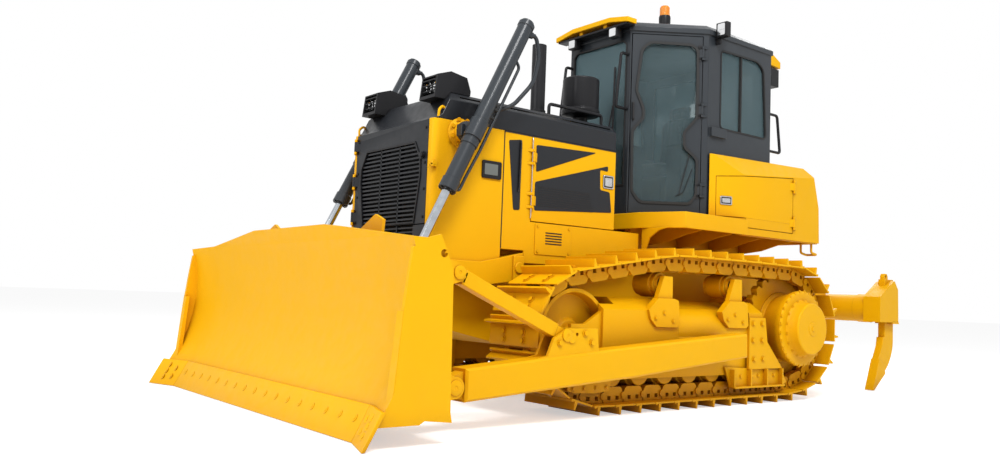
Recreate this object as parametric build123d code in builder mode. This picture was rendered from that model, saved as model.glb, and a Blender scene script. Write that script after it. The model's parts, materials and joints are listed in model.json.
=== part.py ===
from build123d import *
import os
from math import atan2, cos, hypot, pi, radians, sin, sqrt

# Crawler dozer with a semi-U blade and a three-shank ripper.
# Millimetres. +X is the machine's left, -Y the way it drives forward, +Z up.
# The origin is on the ground, below the middle of the whole machine.

os.makedirs("parts", exist_ok=True)

# ---- driving dimensions -------------------------------------------------
track_gauge = 1880.0  # between the centre lines of the tracks
shoe_width = 510.0
shoe_plate = 12.0
grouser_height = 55.0
shoe_seat = 45.0  # from the pin line out to the shoe's seat
rail_depth = 60.0  # from the pin line in to the roller surface
rail_width = 55.0
rail_spread = 100.0  # rail's centre, each side of the track's centre line
shoe_pitch = 203.0  # nearest whole number of shoes is used

idler_y, idler_z, idler_pin_radius = -1250.0, 540.0, 385.0
sprocket_y, sprocket_z, sprocket_pin_radius = 1240.0, 600.0, 465.0
carrier_y = (-240.0, 630.0)
carrier_radius = 85.0
top_run_z = 1075.0  # pin line over the carrier rollers
top_run_bend = 1500.0  # radius of the top run over a carrier roller
ground_front_y, ground_rear_y = -1120.0, 1060.0  # flat part of the bottom run
ground_bend = 300.0
roller_radius = 95.0
roller_count = 7
roller_front_y, roller_rear_y = -875.0, 800.0

blade_half = 1667.0  # out to the side plates
blade_fold = 1412.0  # where each wing starts
wing_angle = 19.0
blade_height = 1173.0
blade_shoulder = 1060.0  # top edge at the blade's ends
blade_plateau = 546.0  # half width of the raised middle
lug_hole_y, lug_hole_z, lug_hole_radius = -2740.0, 985.0, 22.0
edge_thickness = 25.0
edge_height = 190.0

arm_pivot_y, arm_pivot_z = 170.0, 470.0
arm_inner, arm_outer = 1228.0, 1376.0
brace_pin_y, brace_pin_z, brace_pin_radius = -1585.0, 545.0, 28.0
blade_raise = 20.0  # degrees

lift_x = 742.0
lift_pivot_y, lift_pivot_z = -1908.0, 1880.0
lift_eye_y, lift_eye_z = -2567.0, 550.0
lift_barrel_radius = 55.0
lift_rod_radius = 30.0
lift_barrel_up = 928.0  # pivot to the top cap
lift_barrel_down = 478.0  # pivot to the bottom cap
eye_drift = 30.0  # room round the blade's pin inside the rod's eye

hood_half = 560.0
hood_bottom_z, hood_top_z = 1960.0, 2165.0
guard_front_y, guard_rear_y = -2125.0, -1522.0
guard_low_z = 1000.0
door_front_y, door_rear_y = -1250.0, -395.0
door_low_z = 1330.0
panel_skin = 30.0

hull_half = 340.0
deck_top_z, deck_thick = 1500.0, 130.0
deck_half = 930.0
deck_front_y = -110.0

cab_front_half, cab_half = 370.0, 770.0
cab_front_y, cab_post_y, cab_rear_y = -70.0, 470.0, 1360.0
cab_floor_z, cab_eave_z, cab_roof_z = 1500.3, 3060.0, 3150.0
cab_wall = 50.0

tank_half, tank_rear_y, tank_top_z = 900.0, 1960.0, 2040.0
tank_door_y0, tank_door_y1 = 835.0, 1530.0
tank_door_z0, tank_door_z1 = 1560.0, 1890.0

ripper_pivot_y, ripper_pivot_z = 2010.0, 700.0
ripper_beam_y, ripper_beam_z, ripper_beam_radius = 2960.0, 836.0, 125.0
shank_spread = 950.0
shank_thick = 70.0
ripper_raise = 30.0
ripper_cylinder_x = 330.0
ripper_base_y, ripper_base_z = 1965.0, 1180.0
ripper_eye_y, ripper_eye_z = 2780.0, 1000.0

gap = 6.0  # running clearance between moving pieces
seat = 0.3  # clearance between pieces that only touch

hinge_radius, hinge_pin = 11.0, 5.0  # knuckles and their pin
hinge_out = 12.5  # from a panel's face out to its hinge's axis
hinge_half, knuckle_end = 60.0, 24.0  # half a hinge's height, length of a fixed knuckle

track_x = track_gauge / 2


def save(builder, name):
    builder.part.label = name
    export_step(builder.part, f"parts/{name}.step")


def block(x0, x1, y0, y1, z0, z1, mode=Mode.ADD):
    """A plain block between two corners."""
    with Locations(((x0 + x1) / 2, (y0 + y1) / 2, (z0 + z1) / 2)):
        Box(abs(x1 - x0), abs(y1 - y0), abs(z1 - z0), mode=mode)


def side_plate(points, x0, x1, mode=Mode.ADD, radius=0):
    """A plate cut to a (y, z) outline, from x0 to x1."""
    with BuildSketch(Plane.YZ.offset(min(x0, x1))) as outline:
        with BuildLine():
            Polyline(*points, close=True)
        make_face()
        if radius:
            fillet(outline.vertices(), radius)
    extrude(outline.sketch, amount=abs(x1 - x0), mode=mode)


def plan_plate(points, z0, z1, mode=Mode.ADD):
    """A plate cut to an (x, y) outline, from z0 to z1."""
    with BuildSketch(Plane.XY.offset(z0)) as outline:
        with BuildLine():
            Polyline(*points, close=True)
        make_face()
    extrude(outline.sketch, amount=z1 - z0, mode=mode)


def front_plate(points, y0, y1, mode=Mode.ADD):
    """A plate cut to an (x, z) outline, from y0 back to y1."""
    with BuildSketch(Plane.XZ.offset(-y1)) as outline:
        with BuildLine():
            Polyline(*points, close=True)
        make_face()
    extrude(outline.sketch, amount=y1 - y0, mode=mode)


def cross_bar(y, z, radius, x0, x1, mode=Mode.ADD):
    """A round bar along X."""
    with BuildSketch(Plane.YZ.offset(min(x0, x1))) as disc:
        with Locations((y, z)):
            Circle(radius)
    extrude(disc.sketch, amount=abs(x1 - x0), mode=mode)


def both_sides():
    return (("left", 1), ("right", -1))


def post(x, y, radius, z0, z1, mode=Mode.ADD):
    """A round bar standing up."""
    with BuildSketch(Plane.XY.offset(z0)) as disc:
        with Locations((x, y)):
            Circle(radius)
    extrude(disc.sketch, amount=z1 - z0, mode=mode)


def hinge_pins(axis_xy, leaf_xy, heights):
    """The fixed half of upright hinges: a pin in two knuckles, with a leaf under each."""
    for z in heights:
        post(*axis_xy, hinge_pin, z - hinge_half, z + hinge_half)
        for end in (-1, 1):
            low, high = sorted((z + end * hinge_half, z + end * (hinge_half - knuckle_end)))
            post(*axis_xy, hinge_radius, low, high)
            plan_plate(leaf_xy, low, high)


def hinge_knuckles(axis_xy, leaf_xy, heights):
    """The moving half: one long knuckle between the fixed ones."""
    for z in heights:
        low, high = z - hinge_half + knuckle_end + seat, z + hinge_half - knuckle_end - seat
        post(*axis_xy, hinge_radius, low, high)
        plan_plate(leaf_xy, low, high)
        post(*axis_xy, hinge_pin + seat, low - 1, high + 1, mode=Mode.SUBTRACT)


# ---- track loop -----------------------------------------------------------
ground_pin_z = grouser_height + shoe_plate + shoe_seat


def tangent_points(c0, r0, c1, r1):
    """Outer tangent from circle 0 to circle 1, both wrapped clockwise."""
    dy, dz = c1[0] - c0[0], c1[1] - c0[1]
    reach = hypot(dy, dz)
    turn = atan2(dz, dy) + atan2(sqrt(reach**2 - (r0 - r1) ** 2), r0 - r1)
    return [(c[0] + r * cos(turn), c[1] + r * sin(turn)) for c, r in ((c0, r0), (c1, r1))]


def loop_points():
    """The pin line as short straight steps, clockwise from the idler's top."""
    stops = [  # centre y, centre z, radius
        (idler_y, idler_z, idler_pin_radius),
        (carrier_y[0], top_run_z - top_run_bend, top_run_bend),
        (carrier_y[1], top_run_z - top_run_bend, top_run_bend),
        (sprocket_y, sprocket_z, sprocket_pin_radius),
        (ground_rear_y, ground_pin_z + ground_bend, ground_bend),
        (ground_front_y, ground_pin_z + ground_bend, ground_bend),
    ]
    count = len(stops)
    legs = []
    for i in range(count):
        a, b = stops[i], stops[(i + 1) % count]
        legs.append(tangent_points(a[:2], a[2], b[:2], b[2]))
    points = []
    for i in range(count):
        centre, arrive, leave = stops[i], legs[i - 1][1], legs[i][0]
        start = atan2(arrive[1] - centre[1], arrive[0] - centre[0])
        stop = atan2(leave[1] - centre[1], leave[0] - centre[0])
        while stop > start:
            stop -= 2 * pi
        steps = max(2, int((start - stop) / radians(4)))
        for k in range(steps + 1):
            turn = start + (stop - start) * k / steps
            points.append((centre[0] + centre[2] * cos(turn), centre[1] + centre[2] * sin(turn)))
    return points


def pins_on_loop(points, pitch):
    """Pins at an even spacing round the closed line."""
    lengths = [hypot(b[0] - a[0], b[1] - a[1]) for a, b in zip(points, points[1:] + points[:1])]
    total = sum(lengths)
    number = round(total / pitch)
    pins, travelled, leg = [], 0.0, 0
    for k in range(number):
        target = total * k / number
        while travelled + lengths[leg] < target:
            travelled += lengths[leg]
            leg += 1
        a, b = points[leg], points[(leg + 1) % len(points)]
        share = (target - travelled) / lengths[leg]
        pins.append((a[0] + (b[0] - a[0]) * share, a[1] + (b[1] - a[1]) * share))
    return pins


def link_outline(pins, profile):
    """The profile (share of the link, height) repeated on each link of the loop."""
    outline = []
    for a, b in zip(pins, pins[1:] + pins[:1]):
        length = hypot(b[0] - a[0], b[1] - a[1])
        ty, tz = (b[0] - a[0]) / length, (b[1] - a[1]) / length
        for share, height in profile:
            along = share * length
            outline.append((a[0] + ty * along - tz * height, a[1] + tz * along + ty * height))
    return outline


track_pins = pins_on_loop(loop_points(), shoe_pitch)
plate_out = shoe_seat + shoe_plate
shoe_profile = [  # share of the link, height over the pin line
    (0.02, plate_out), (0.70, plate_out), (0.74, plate_out + grouser_height),
    (0.82, plate_out + grouser_height), (0.86, plate_out), (0.98, plate_out),
]
seat_profile = [(0.02, shoe_seat), (0.98, shoe_seat)]
rail_profile = [(0.10, -rail_depth), (0.90, -rail_depth)]

for side, sx in both_sides():
    centre = sx * track_x
    with BuildPart() as track:
        with BuildSketch(Plane.YZ.offset(centre - shoe_width / 2)):
            with BuildLine():
                Polyline(*link_outline(track_pins, shoe_profile), close=True)
            make_face()
            with BuildLine():
                Polyline(*link_outline(track_pins, seat_profile), close=True)
            make_face(mode=Mode.SUBTRACT)
        extrude(amount=shoe_width)
        for rail in (-1, 1):
            with BuildSketch(Plane.YZ.offset(centre + rail * rail_spread - rail_width / 2)):
                with BuildLine():
                    Polyline(*link_outline(track_pins, [(0.02, shoe_seat + 1), (0.98, shoe_seat + 1)]), close=True)
                make_face()
                with BuildLine():
                    Polyline(*link_outline(track_pins, rail_profile), close=True)
                make_face(mode=Mode.SUBTRACT)
            extrude(amount=rail_width)
    save(track, f"track_{side}")

# ---- wheels that carry the track -------------------------------------------
idler_tread = idler_pin_radius - rail_depth - seat
roller_z = ground_pin_z + rail_depth + roller_radius + seat
carrier_z = top_run_z - rail_depth - carrier_radius - 6.0
flange_half = rail_spread - rail_width / 2 - 4.0

with BuildPart() as idlers:
    for side, sx in both_sides():
        with BuildSketch(Plane.YZ.offset(sx * track_x - 70)):
            with Locations((idler_y, idler_z)):
                Circle(idler_tread)
        extrude(amount=140)
        with BuildSketch(Plane.YZ.offset(sx * track_x - flange_half)):
            with Locations((idler_y, idler_z)):
                Circle(idler_tread + 18)
        extrude(amount=2 * flange_half)
        for face in (-1, 1):
            with BuildSketch(Plane.YZ.offset(sx * track_x + face * 52)):
                with Locations((idler_y, idler_z)):
                    Circle(idler_tread - 45)
                    Circle(90, mode=Mode.SUBTRACT)
            extrude(amount=face * 40, mode=Mode.SUBTRACT)
save(idlers, "idlers")

tooth_count = 14
with BuildPart() as sprockets:
    for side, sx in both_sides():
        with BuildSketch(Plane.YZ.offset(sx * track_x - 35)):
            with Locations((sprocket_y, sprocket_z)):
                Circle(sprocket_pin_radius - rail_depth + 8)
                with PolarLocations(sprocket_pin_radius - rail_depth + 8, tooth_count):
                    Rectangle(60, 70)
                Circle(300, mode=Mode.SUBTRACT)
        extrude(amount=70)
save(sprockets, "sprockets")

final_drive_profile = [  # distance from the track's centre line, radius
    (-330.0, 0.0), (-330.0, 230.0), (-40.0, 230.0), (-40.0, 299.7), (40.0, 299.7), (60.0, 285.0),
    (180.0, 300.0), (250.0, 300.0), (262.0, 300.0), (262.0, 262.0), (330.0, 245.0), (360.0, 240.0), (360.0, 0.0),
]
with BuildPart() as final_drives:
    for side, sx in both_sides():
        axle = Plane(origin=(sx * track_x, sprocket_y, sprocket_z), x_dir=(sx, 0, 0), z_dir=(0, -sx, 0))
        with BuildSketch(axle):
            with BuildLine():
                Polyline(*final_drive_profile, close=True)
            make_face()
        revolve(axis=Axis((sx * track_x, sprocket_y, sprocket_z), (1, 0, 0)))
save(final_drives, "final_drives")

with BuildPart() as bottom_rollers:
    step = (roller_rear_y - roller_front_y) / (roller_count - 1)
    for side, sx in both_sides():
        for k in range(roller_count):
            y = roller_front_y + k * step
            cross_bar(y, roller_z, roller_radius - 25, sx * track_x - 125, sx * track_x + 125)
            for face in (-1, 1):
                inner = sx * track_x + face * (flange_half - 12)
                cross_bar(y, roller_z, roller_radius, inner, sx * track_x + face * 125)
                cross_bar(y, roller_z, roller_radius + 14, inner, inner + face * 12)
save(bottom_rollers, "bottom_rollers")

with BuildPart() as carrier_rollers:
    for side, sx in both_sides():
        for y in carrier_y:
            cross_bar(y, carrier_z, carrier_radius, sx * track_x - 110, sx * track_x + 110)
            cross_bar(y, carrier_z, carrier_radius + 12, sx * track_x - flange_half, sx * track_x + flange_half)
            cross_bar(y, carrier_z, 30, sx * (track_x + 110), sx * (track_x + 128))
save(carrier_rollers, "carrier_rollers")

# ---- track frames -----------------------------------------------------------
frame_in, frame_out = track_x - 185.0, track_x + 185.0
frame_low_z, frame_top_z = 392.0, 712.0
frame_front_y, frame_rear_y = idler_y + 365.0, sprocket_y - 505.0
with BuildPart() as track_frames:
    for side, sx in both_sides():
        block(sx * frame_in, sx * frame_out, frame_front_y, frame_rear_y, frame_low_z, frame_top_z)
        for face in (-1, 1):
            x0 = sx * track_x + face * 135
            x1 = sx * track_x + face * 165
            side_plate([(frame_front_y + 1, 420), (frame_front_y + 1, 690), (idler_y + 60, 610),
                        (idler_y - 70, 610), (idler_y - 70, 470), (idler_y + 60, 470)], x0, x1)
            cross_bar(idler_y, idler_z, 60, sx * track_x + face * 70.3, x1)
            block(x0, x1, roller_front_y - 90, roller_rear_y + 90, roller_z - 40, frame_low_z + 1)
            for k in range(roller_count):
                y = roller_front_y + k * step
                cross_bar(y, roller_z, 38, sx * track_x + face * 125.3, x0 + face)
        for y in carrier_y:
            side_plate([(y - 110, frame_top_z - 1), (y - 45, carrier_z + 20), (y - 30, carrier_z + 58),
                        (y + 30, carrier_z + 58), (y + 42, carrier_z + 20), (y + 60, frame_top_z - 1)],
                       sx * (track_x + 128.3), sx * (track_x + 160))
        # cross shaft to the hull
        cross_bar(350, 560, 90, sx * (hull_half + seat), sx * frame_in)
        # trunnion of the push arm
        cross_bar(arm_pivot_y, arm_pivot_z, 65, sx * frame_out, sx * (arm_inner + arm_outer) / 2)
        # rear guard beside the final drive
        side_plate([(frame_rear_y - 120, frame_low_z), (frame_rear_y - 60, 660), (frame_rear_y + 120, 640),
                    (sprocket_y - 260, 330), (sprocket_y - 230, 190), (frame_rear_y - 120, 190)],
                   sx * (track_x + 170), sx * (track_x + 200))
save(track_frames, "track_frames")

# ---- hull ---------------------------------------------------------------------
hull_top_z = 1215.0
with BuildPart() as main_frame:
    side_plate([(guard_rear_y - 420, 560), (guard_rear_y - 420, guard_low_z - seat),
                (guard_rear_y + 8, guard_low_z - seat), (guard_rear_y + 8, hull_top_z),
                (1700, hull_top_z), (1860, hull_top_z), (1860, 560), (1600, 420), (-1300, 420)],
               -hull_half, hull_half)
    # gearcase shoulders that carry the final drives
    for side, sx in both_sides():
        cross_bar(sprocket_y, sprocket_z, 260, sx * (hull_half - 1), sx * (track_x - 330 - seat))
        for x in (sx * (ripper_cylinder_x - 75), sx * (ripper_cylinder_x + 25)):
            side_plate([(1859, 560), (1859, 860), (ripper_pivot_y, ripper_pivot_z + 90),
                        (ripper_pivot_y + 80, ripper_pivot_z + 40), (ripper_pivot_y + 80, ripper_pivot_z - 60),
                        (ripper_pivot_y, ripper_pivot_z - 100)], x, x + sx * 50)
        cross_bar(ripper_pivot_y, ripper_pivot_z, 40, sx * (ripper_cylinder_x - 75), sx * (ripper_cylinder_x + 75))
        for x in (sx * (ripper_cylinder_x - 81), sx * (ripper_cylinder_x + 56)):
            side_plate([(1859, 1060), (1859, hull_top_z), (ripper_base_y + 45, ripper_base_z + 45),
                        (ripper_base_y + 45, ripper_base_z - 45)], x, x + sx * 25)
        cross_bar(ripper_base_y, ripper_base_z, 25, sx * (ripper_cylinder_x - 81), sx * (ripper_cylinder_x + 81))
save(main_frame, "main_frame")

with BuildPart() as engine_block:
    block(-330, 330, guard_rear_y + 120, door_rear_y - 60, 1255, 1900)
    block(-260, 260, guard_rear_y + 300, door_rear_y - 200, hull_top_z + seat, 1256)
save(engine_block, "engine_block")

# ---- radiator guard, hood and side panels -----------------------------------------
grille_axis = (-(hood_half - 63.0), guard_front_y - hinge_out)
grille_hinges = (1330.0, 1600.0, 1870.0)
with BuildPart() as radiator_guard:
    with BuildSketch(Plane.XY.offset(guard_low_z)):
        with BuildLine():
            Polyline((-hood_half, guard_rear_y), (-hood_half, guard_front_y), (hood_half, guard_front_y),
                     (hood_half, guard_rear_y), close=True)
        make_face()
    extrude(amount=hood_bottom_z - guard_low_z)
    fillet(radiator_guard.edges().filter_by(Axis.Z).group_by(Axis.Y)[0], 55)
    block(-hood_half + 60, hood_half - 60, guard_front_y - 1, guard_rear_y - 120, 1240, hood_bottom_z + 1,
          mode=Mode.SUBTRACT)
    for side, sx in both_sides():
        cross_bar(lift_pivot_y, lift_pivot_z, 76, sx * (hood_half - 1), sx * (hood_half + 60))
    hinge_pins(grille_axis, [(-(hood_half - 61), guard_front_y + 4), (grille_axis[0], guard_front_y - hinge_out - 8),
                             (-(hood_half - 20), guard_front_y + 4)], grille_hinges)
save(radiator_guard, "radiator_guard")

grille_half = hood_half - 66.0
with BuildPart() as grille_door:
    hinge_knuckles(grille_axis, [(-grille_half + 40, guard_front_y + 3), (grille_axis[0], guard_front_y - hinge_out - 8),
                                 (-grille_half + 6, guard_front_y + 3)], grille_hinges)
    front_plate([(-grille_half, 1245), (grille_half, 1245), (grille_half, hood_bottom_z - 6),
                 (-grille_half, hood_bottom_z - 6)], guard_front_y + 2, guard_front_y + 40)
    front_plate([(-340, 1300), (300, 1300), (395, 1420), (395, 1700), (330, 1810), (-395, 1810), (-395, 1360)],
                guard_front_y - 1, guard_front_y + 41, mode=Mode.SUBTRACT)
    for k in range(12):
        z = 1320 + k * 42
        block(-396, 396, guard_front_y + 8, guard_front_y + 26, z, z + 12)
    for x in (-130, 130):
        block(x - 6, x + 6, guard_front_y + 5, guard_front_y + 30, 1290, 1820)
save(grille_door, "grille_door")

with BuildPart() as hood:
    with BuildSketch(Plane.XZ.offset(395)):
        with BuildLine():
            Polyline((-hood_half, hood_bottom_z + seat), (-hood_half, hood_top_z - 60), (-hood_half + 60, hood_top_z),
                     (hood_half - 60, hood_top_z), (hood_half, hood_top_z - 60), (hood_half, hood_bottom_z + seat),
                     close=True)
        make_face()
    extrude(amount=-395 - guard_front_y - 20)
    block(-hood_half + 25, hood_half - 25, guard_front_y + 150, -430, hood_bottom_z - 1, hood_top_z - 25,
          mode=Mode.SUBTRACT)
save(hood, "hood")

engine_axis_x, engine_axis_y = hood_half + hinge_out, door_front_y - gap / 2
engine_hinges = (1480.0, 1800.0)
with BuildPart() as side_panels:
    for side, sx in both_sides():
        hinge_pins((sx * engine_axis_x, engine_axis_y),
                   [(sx * (hood_half - 1), door_front_y - gap - 1), (sx * (engine_axis_x + 8), engine_axis_y),
                    (sx * (hood_half - 1), door_front_y - gap - 50)], engine_hinges)
        side_plate([(guard_rear_y + seat, guard_low_z), (guard_rear_y + seat, hood_bottom_z),
                    (door_front_y - gap, hood_bottom_z), (door_front_y - gap, door_low_z - gap),
                    (deck_front_y - seat, door_low_z - gap), (deck_front_y - seat, 1215), (guard_rear_y + 450, 1010)],
                   sx * (hood_half - panel_skin), sx * hood_half)
save(side_panels, "side_panels")

for side, sx in both_sides():
    with BuildPart() as engine_door:
        hinge_knuckles((sx * engine_axis_x, engine_axis_y),
                       [(sx * (hood_half - 1), door_front_y + 1), (sx * (engine_axis_x + 8), engine_axis_y),
                        (sx * (hood_half - 1), door_front_y + 45)], engine_hinges)
        side_plate([(door_front_y, door_low_z), (door_rear_y, door_low_z), (door_rear_y, hood_bottom_z - gap),
                    (door_front_y, hood_bottom_z - gap)], sx * (hood_half - panel_skin), sx * hood_half)
    save(engine_door, f"engine_door_{side}")

with BuildPart() as lamp_pods:
    for side, sx in both_sides():
        side_plate([(-1940, hood_top_z + seat), (-1930, 2330), (-1800, 2350), (-1650, 2280),
                    (-1560, hood_top_z + seat)],
                   sx * 250, sx * 480)
save(lamp_pods, "lamp_pods")

with BuildPart() as exhaust_stack:
    with BuildSketch(Plane.XY.offset(hood_top_z + seat)):
        with Locations((300, -1010)):
            Circle(62)
    extrude(amount=2745 - hood_top_z)
save(exhaust_stack, "exhaust_stack")

with BuildPart() as precleaner:
    with BuildSketch(Plane.XY.offset(hood_top_z + seat)):
        with Locations((230, -560)):
            Circle(75)
    extrude(amount=180)
    with BuildSketch(Plane.XY.offset(hood_top_z + 150)):
        with Locations((230, -560)):
            Circle(165)
    extrude(amount=185)
save(precleaner, "precleaner")

# ---- deck and rear body ----------------------------------------------------------
deck_plan = [  # x, y
    (hood_half, deck_front_y), (deck_half, 30), (deck_half, tank_rear_y + 10),
]
with BuildPart() as deck:
    plan_plate(deck_plan + [(-x, y) for x, y in reversed(deck_plan)], deck_top_z - deck_thick, deck_top_z)
    for side, sx in both_sides():
        block(sx * 200, sx * 260, 100, 1600, hull_top_z + seat, deck_top_z - deck_thick + 1)
save(deck, "deck")

tank_front_y = cab_rear_y + 20
tank_axis = (tank_half + hinge_out, tank_door_y1 + gap / 2)
tank_hinges = (1630.0, 1810.0)
tank_corner_y = 810.0
with BuildPart() as fuel_tank:
    with BuildSketch(Plane.XZ.offset(-tank_rear_y)):
        with BuildLine():
            Polyline((-tank_half, deck_top_z + seat), (-tank_half, 1920), (-tank_half + 110, tank_top_z),
                     (tank_half - 110, tank_top_z), (tank_half, 1920), (tank_half, deck_top_z + seat), close=True)
        make_face()
    extrude(amount=tank_rear_y - 500)
    # the cab stands between the tank's two wings
    block(-cab_half - 15, cab_half + 15, 400, tank_front_y, deck_top_z - 1, tank_top_z + 1, mode=Mode.SUBTRACT)
    for side, sx in both_sides():
        plan_plate([(sx * (cab_half + 15), 490), (sx * (tank_half + 5), tank_corner_y), (sx * (tank_half + 5), 490)],
                   deck_top_z - 1, tank_top_z + 1, mode=Mode.SUBTRACT)
    side_plate([(tank_door_y0 - gap, tank_door_z0 - gap), (tank_door_y1 + gap, tank_door_z0 - gap),
                (tank_door_y1 + gap, tank_door_z1 + gap), (tank_door_y0 - gap, tank_door_z1 + gap)],
               tank_half - 34, tank_half + 1, mode=Mode.SUBTRACT)
    hinge_pins(tank_axis, [(tank_half - 1, tank_door_y1 + gap + 1), (tank_axis[0] + 8, tank_axis[1]),
                           (tank_half - 1, tank_door_y1 + gap + 50)], tank_hinges)
save(fuel_tank, "fuel_tank")

with BuildPart() as tank_door:
    hinge_knuckles(tank_axis, [(tank_half - 1, tank_door_y1 - 1), (tank_axis[0] + 8, tank_axis[1]),
                               (tank_half - 1, tank_door_y1 - 45)], tank_hinges)
    side_plate([(tank_door_y0, tank_door_z0), (tank_door_y1, tank_door_z0), (tank_door_y1, tank_door_z1),
                (tank_door_y0, tank_door_z1)], tank_half - 28, tank_half)
save(tank_door, "tank_door")

# ---- cab ---------------------------------------------------------------------------
cab_plan = [(cab_front_half, cab_front_y), (cab_half, cab_post_y), (cab_half, cab_rear_y)]


def mirrored(points):
    return points + [(-x, y) for x, y in reversed(points)]


def inset_plan(amount):
    """The cab's plan moved in by the wall's thickness."""
    slope_y, slope_x = cab_post_y - cab_front_y, cab_half - cab_front_half
    length = hypot(slope_x, slope_y)
    shift = amount * (length - slope_x) / slope_y
    lean = amount * (length - slope_y) / slope_x
    return [(cab_front_half - shift, cab_front_y + amount), (cab_half - amount, cab_post_y + lean),
            (cab_half - amount, cab_rear_y - amount)]


def door_plane(sx):
    """On the cab's slanted side: local x runs from the rear post forwards, local y is up."""
    return Plane(origin=(sx * cab_half, cab_post_y, 0),
                 x_dir=(sx * (cab_front_half - cab_half), cab_front_y - cab_post_y, 0),
                 z_dir=(sx * (cab_post_y - cab_front_y), -(cab_half - cab_front_half), 0))


door_length = hypot(cab_half - cab_front_half, cab_post_y - cab_front_y)
door_margin = 48.0
door_z0, door_z1 = cab_floor_z + 40, cab_eave_z - 60


def up_sign(sx):
    return 1 if door_plane(sx).y_dir.Z > 0 else -1


def door_rect(sx, x0, x1, z0, z1, depth0, depth1, mode=Mode.ADD, radius=0):
    """A block on the door's plane; depth is measured outwards from the cab's face."""
    plane = door_plane(sx).offset(depth0)
    up = up_sign(sx)
    with BuildSketch(plane) as face:
        with Locations(((x0 + x1) / 2, up * (z0 + z1) / 2)):
            Rectangle(x1 - x0, z1 - z0)
        if radius:
            fillet(face.vertices(), radius)
    extrude(face.sketch, amount=depth1 - depth0, mode=mode)


def on_door(sx, along, out):
    """Plan position at a distance along the slanted side and out from it."""
    plane = door_plane(sx)
    point = plane.origin + plane.x_dir * along + plane.z_dir * out
    return (point.X, point.Y)


door_hinge_x = door_margin + gap / 2
door_hinges = (1640.0, 2290.0, 2850.0)
with BuildPart() as cab_shell:
    plan_plate(mirrored(cab_plan), cab_floor_z, cab_roof_z)
    plan_plate(mirrored(inset_plan(cab_wall)), cab_floor_z + 50, cab_eave_z, mode=Mode.SUBTRACT)
    for side, sx in both_sides():
        door_rect(sx, door_margin, door_length - door_margin, door_z0, door_z1, -cab_wall - 30, 30,
                  mode=Mode.SUBTRACT)
        # side window behind the door
        side_plate([(cab_post_y + 90, 2150), (cab_rear_y - 90, 2150), (cab_rear_y - 110, cab_eave_z - 90),
                    (cab_post_y + 90, cab_eave_z - 90)], sx * (cab_half - cab_wall - 5), sx * (cab_half + 5),
                   mode=Mode.SUBTRACT)
    front_plate([(-cab_front_half + 45, 1750), (cab_front_half - 45, 1750), (cab_front_half - 45, cab_eave_z - 70),
                 (-cab_front_half + 45, cab_eave_z - 70)], cab_front_y - 5, cab_front_y + cab_wall + 5,
                mode=Mode.SUBTRACT)
    front_plate([(-cab_half + 160, 2130), (cab_half - 160, 2130), (cab_half - 160, cab_eave_z - 90),
                 (-cab_half + 160, cab_eave_z - 90)], cab_rear_y - cab_wall - 5, cab_rear_y + 5, mode=Mode.SUBTRACT)
    for side, sx in both_sides():
        hinge_pins(on_door(sx, door_hinge_x, hinge_out), [on_door(sx, door_margin - 1, -1), on_door(sx, door_hinge_x, hinge_out + 8),
                                                   on_door(sx, 2, -1)], door_hinges)
save(cab_shell, "cab_shell")

glass = 6.0
with BuildPart() as cab_glass:
    for side, sx in both_sides():
        side_plate([(cab_post_y + 90 + seat, 2150 + seat), (cab_rear_y - 90 - seat, 2150 + seat),
                    (cab_rear_y - 110 - seat, cab_eave_z - 90 - seat), (cab_post_y + 90 + seat, cab_eave_z - 90 - seat)],
                   sx * (cab_half - 24), sx * (cab_half - 24 + glass))
    front_plate([(-cab_front_half + 45 + seat, 1750 + seat), (cab_front_half - 45 - seat, 1750 + seat),
                 (cab_front_half - 45 - seat, cab_eave_z - 70 - seat),
                 (-cab_front_half + 45 + seat, cab_eave_z - 70 - seat)],
                cab_front_y + 20, cab_front_y + 20 + glass)
    front_plate([(-cab_half + 160 + seat, 2130 + seat), (cab_half - 160 - seat, 2130 + seat),
                 (cab_half - 160 - seat, cab_eave_z - 90 - seat), (-cab_half + 160 + seat, cab_eave_z - 90 - seat)],
                cab_rear_y - 26, cab_rear_y - 26 + glass)
save(cab_glass, "cab_glass")

window_inset = 70.0
for side, sx in both_sides():
    x0, x1 = door_margin + gap, door_length - door_margin - gap
    z0, z1 = door_z0 + gap, door_z1 - gap
    with BuildPart() as cab_door:
        door_rect(sx, x0, x1, z0, z1, -45, 0)
        door_rect(sx, x0 + window_inset, x1 - window_inset, z0 + window_inset + 20, z1 - window_inset, -46, 1,
                  mode=Mode.SUBTRACT, radius=60)
        hinge_knuckles(on_door(sx, door_hinge_x, hinge_out), [on_door(sx, x0 + 1, -1), on_door(sx, door_hinge_x, hinge_out + 8),
                                                       on_door(sx, x0 + 46, -1)], door_hinges)
    save(cab_door, f"cab_door_{side}")
    with BuildPart() as door_glass:
        door_rect(sx, x0 + window_inset + seat, x1 - window_inset - seat, z0 + window_inset + 20 + seat,
                  z1 - window_inset - seat, -26, -20, radius=60)
    save(door_glass, f"door_glass_{side}")

with BuildPart() as roof_visors:
    front_plate([(-450, 3060), (-450, 3085), (-300, 3175), (300, 3175), (450, 3085), (450, 3060), (300, 3100),
                 (-300, 3100)], cab_front_y - 140, cab_front_y - seat)
    front_plate([(-620, 2990), (-620, 3060), (-500, 3110), (500, 3110), (620, 3060), (620, 2990)],
                cab_rear_y + seat, cab_rear_y + 130)
save(roof_visors, "roof_visors")

with BuildPart() as beacon:
    with BuildSketch(Plane.XY.offset(cab_roof_z + seat)):
        with Locations((300, 430)):
            Circle(35)
    extrude(amount=80)
    with BuildSketch(Plane.XY.offset(cab_roof_z + 79)):
        with Locations((300, 430)):
            Circle(48)
    extrude(amount=190)
save(beacon, "beacon")

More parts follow.
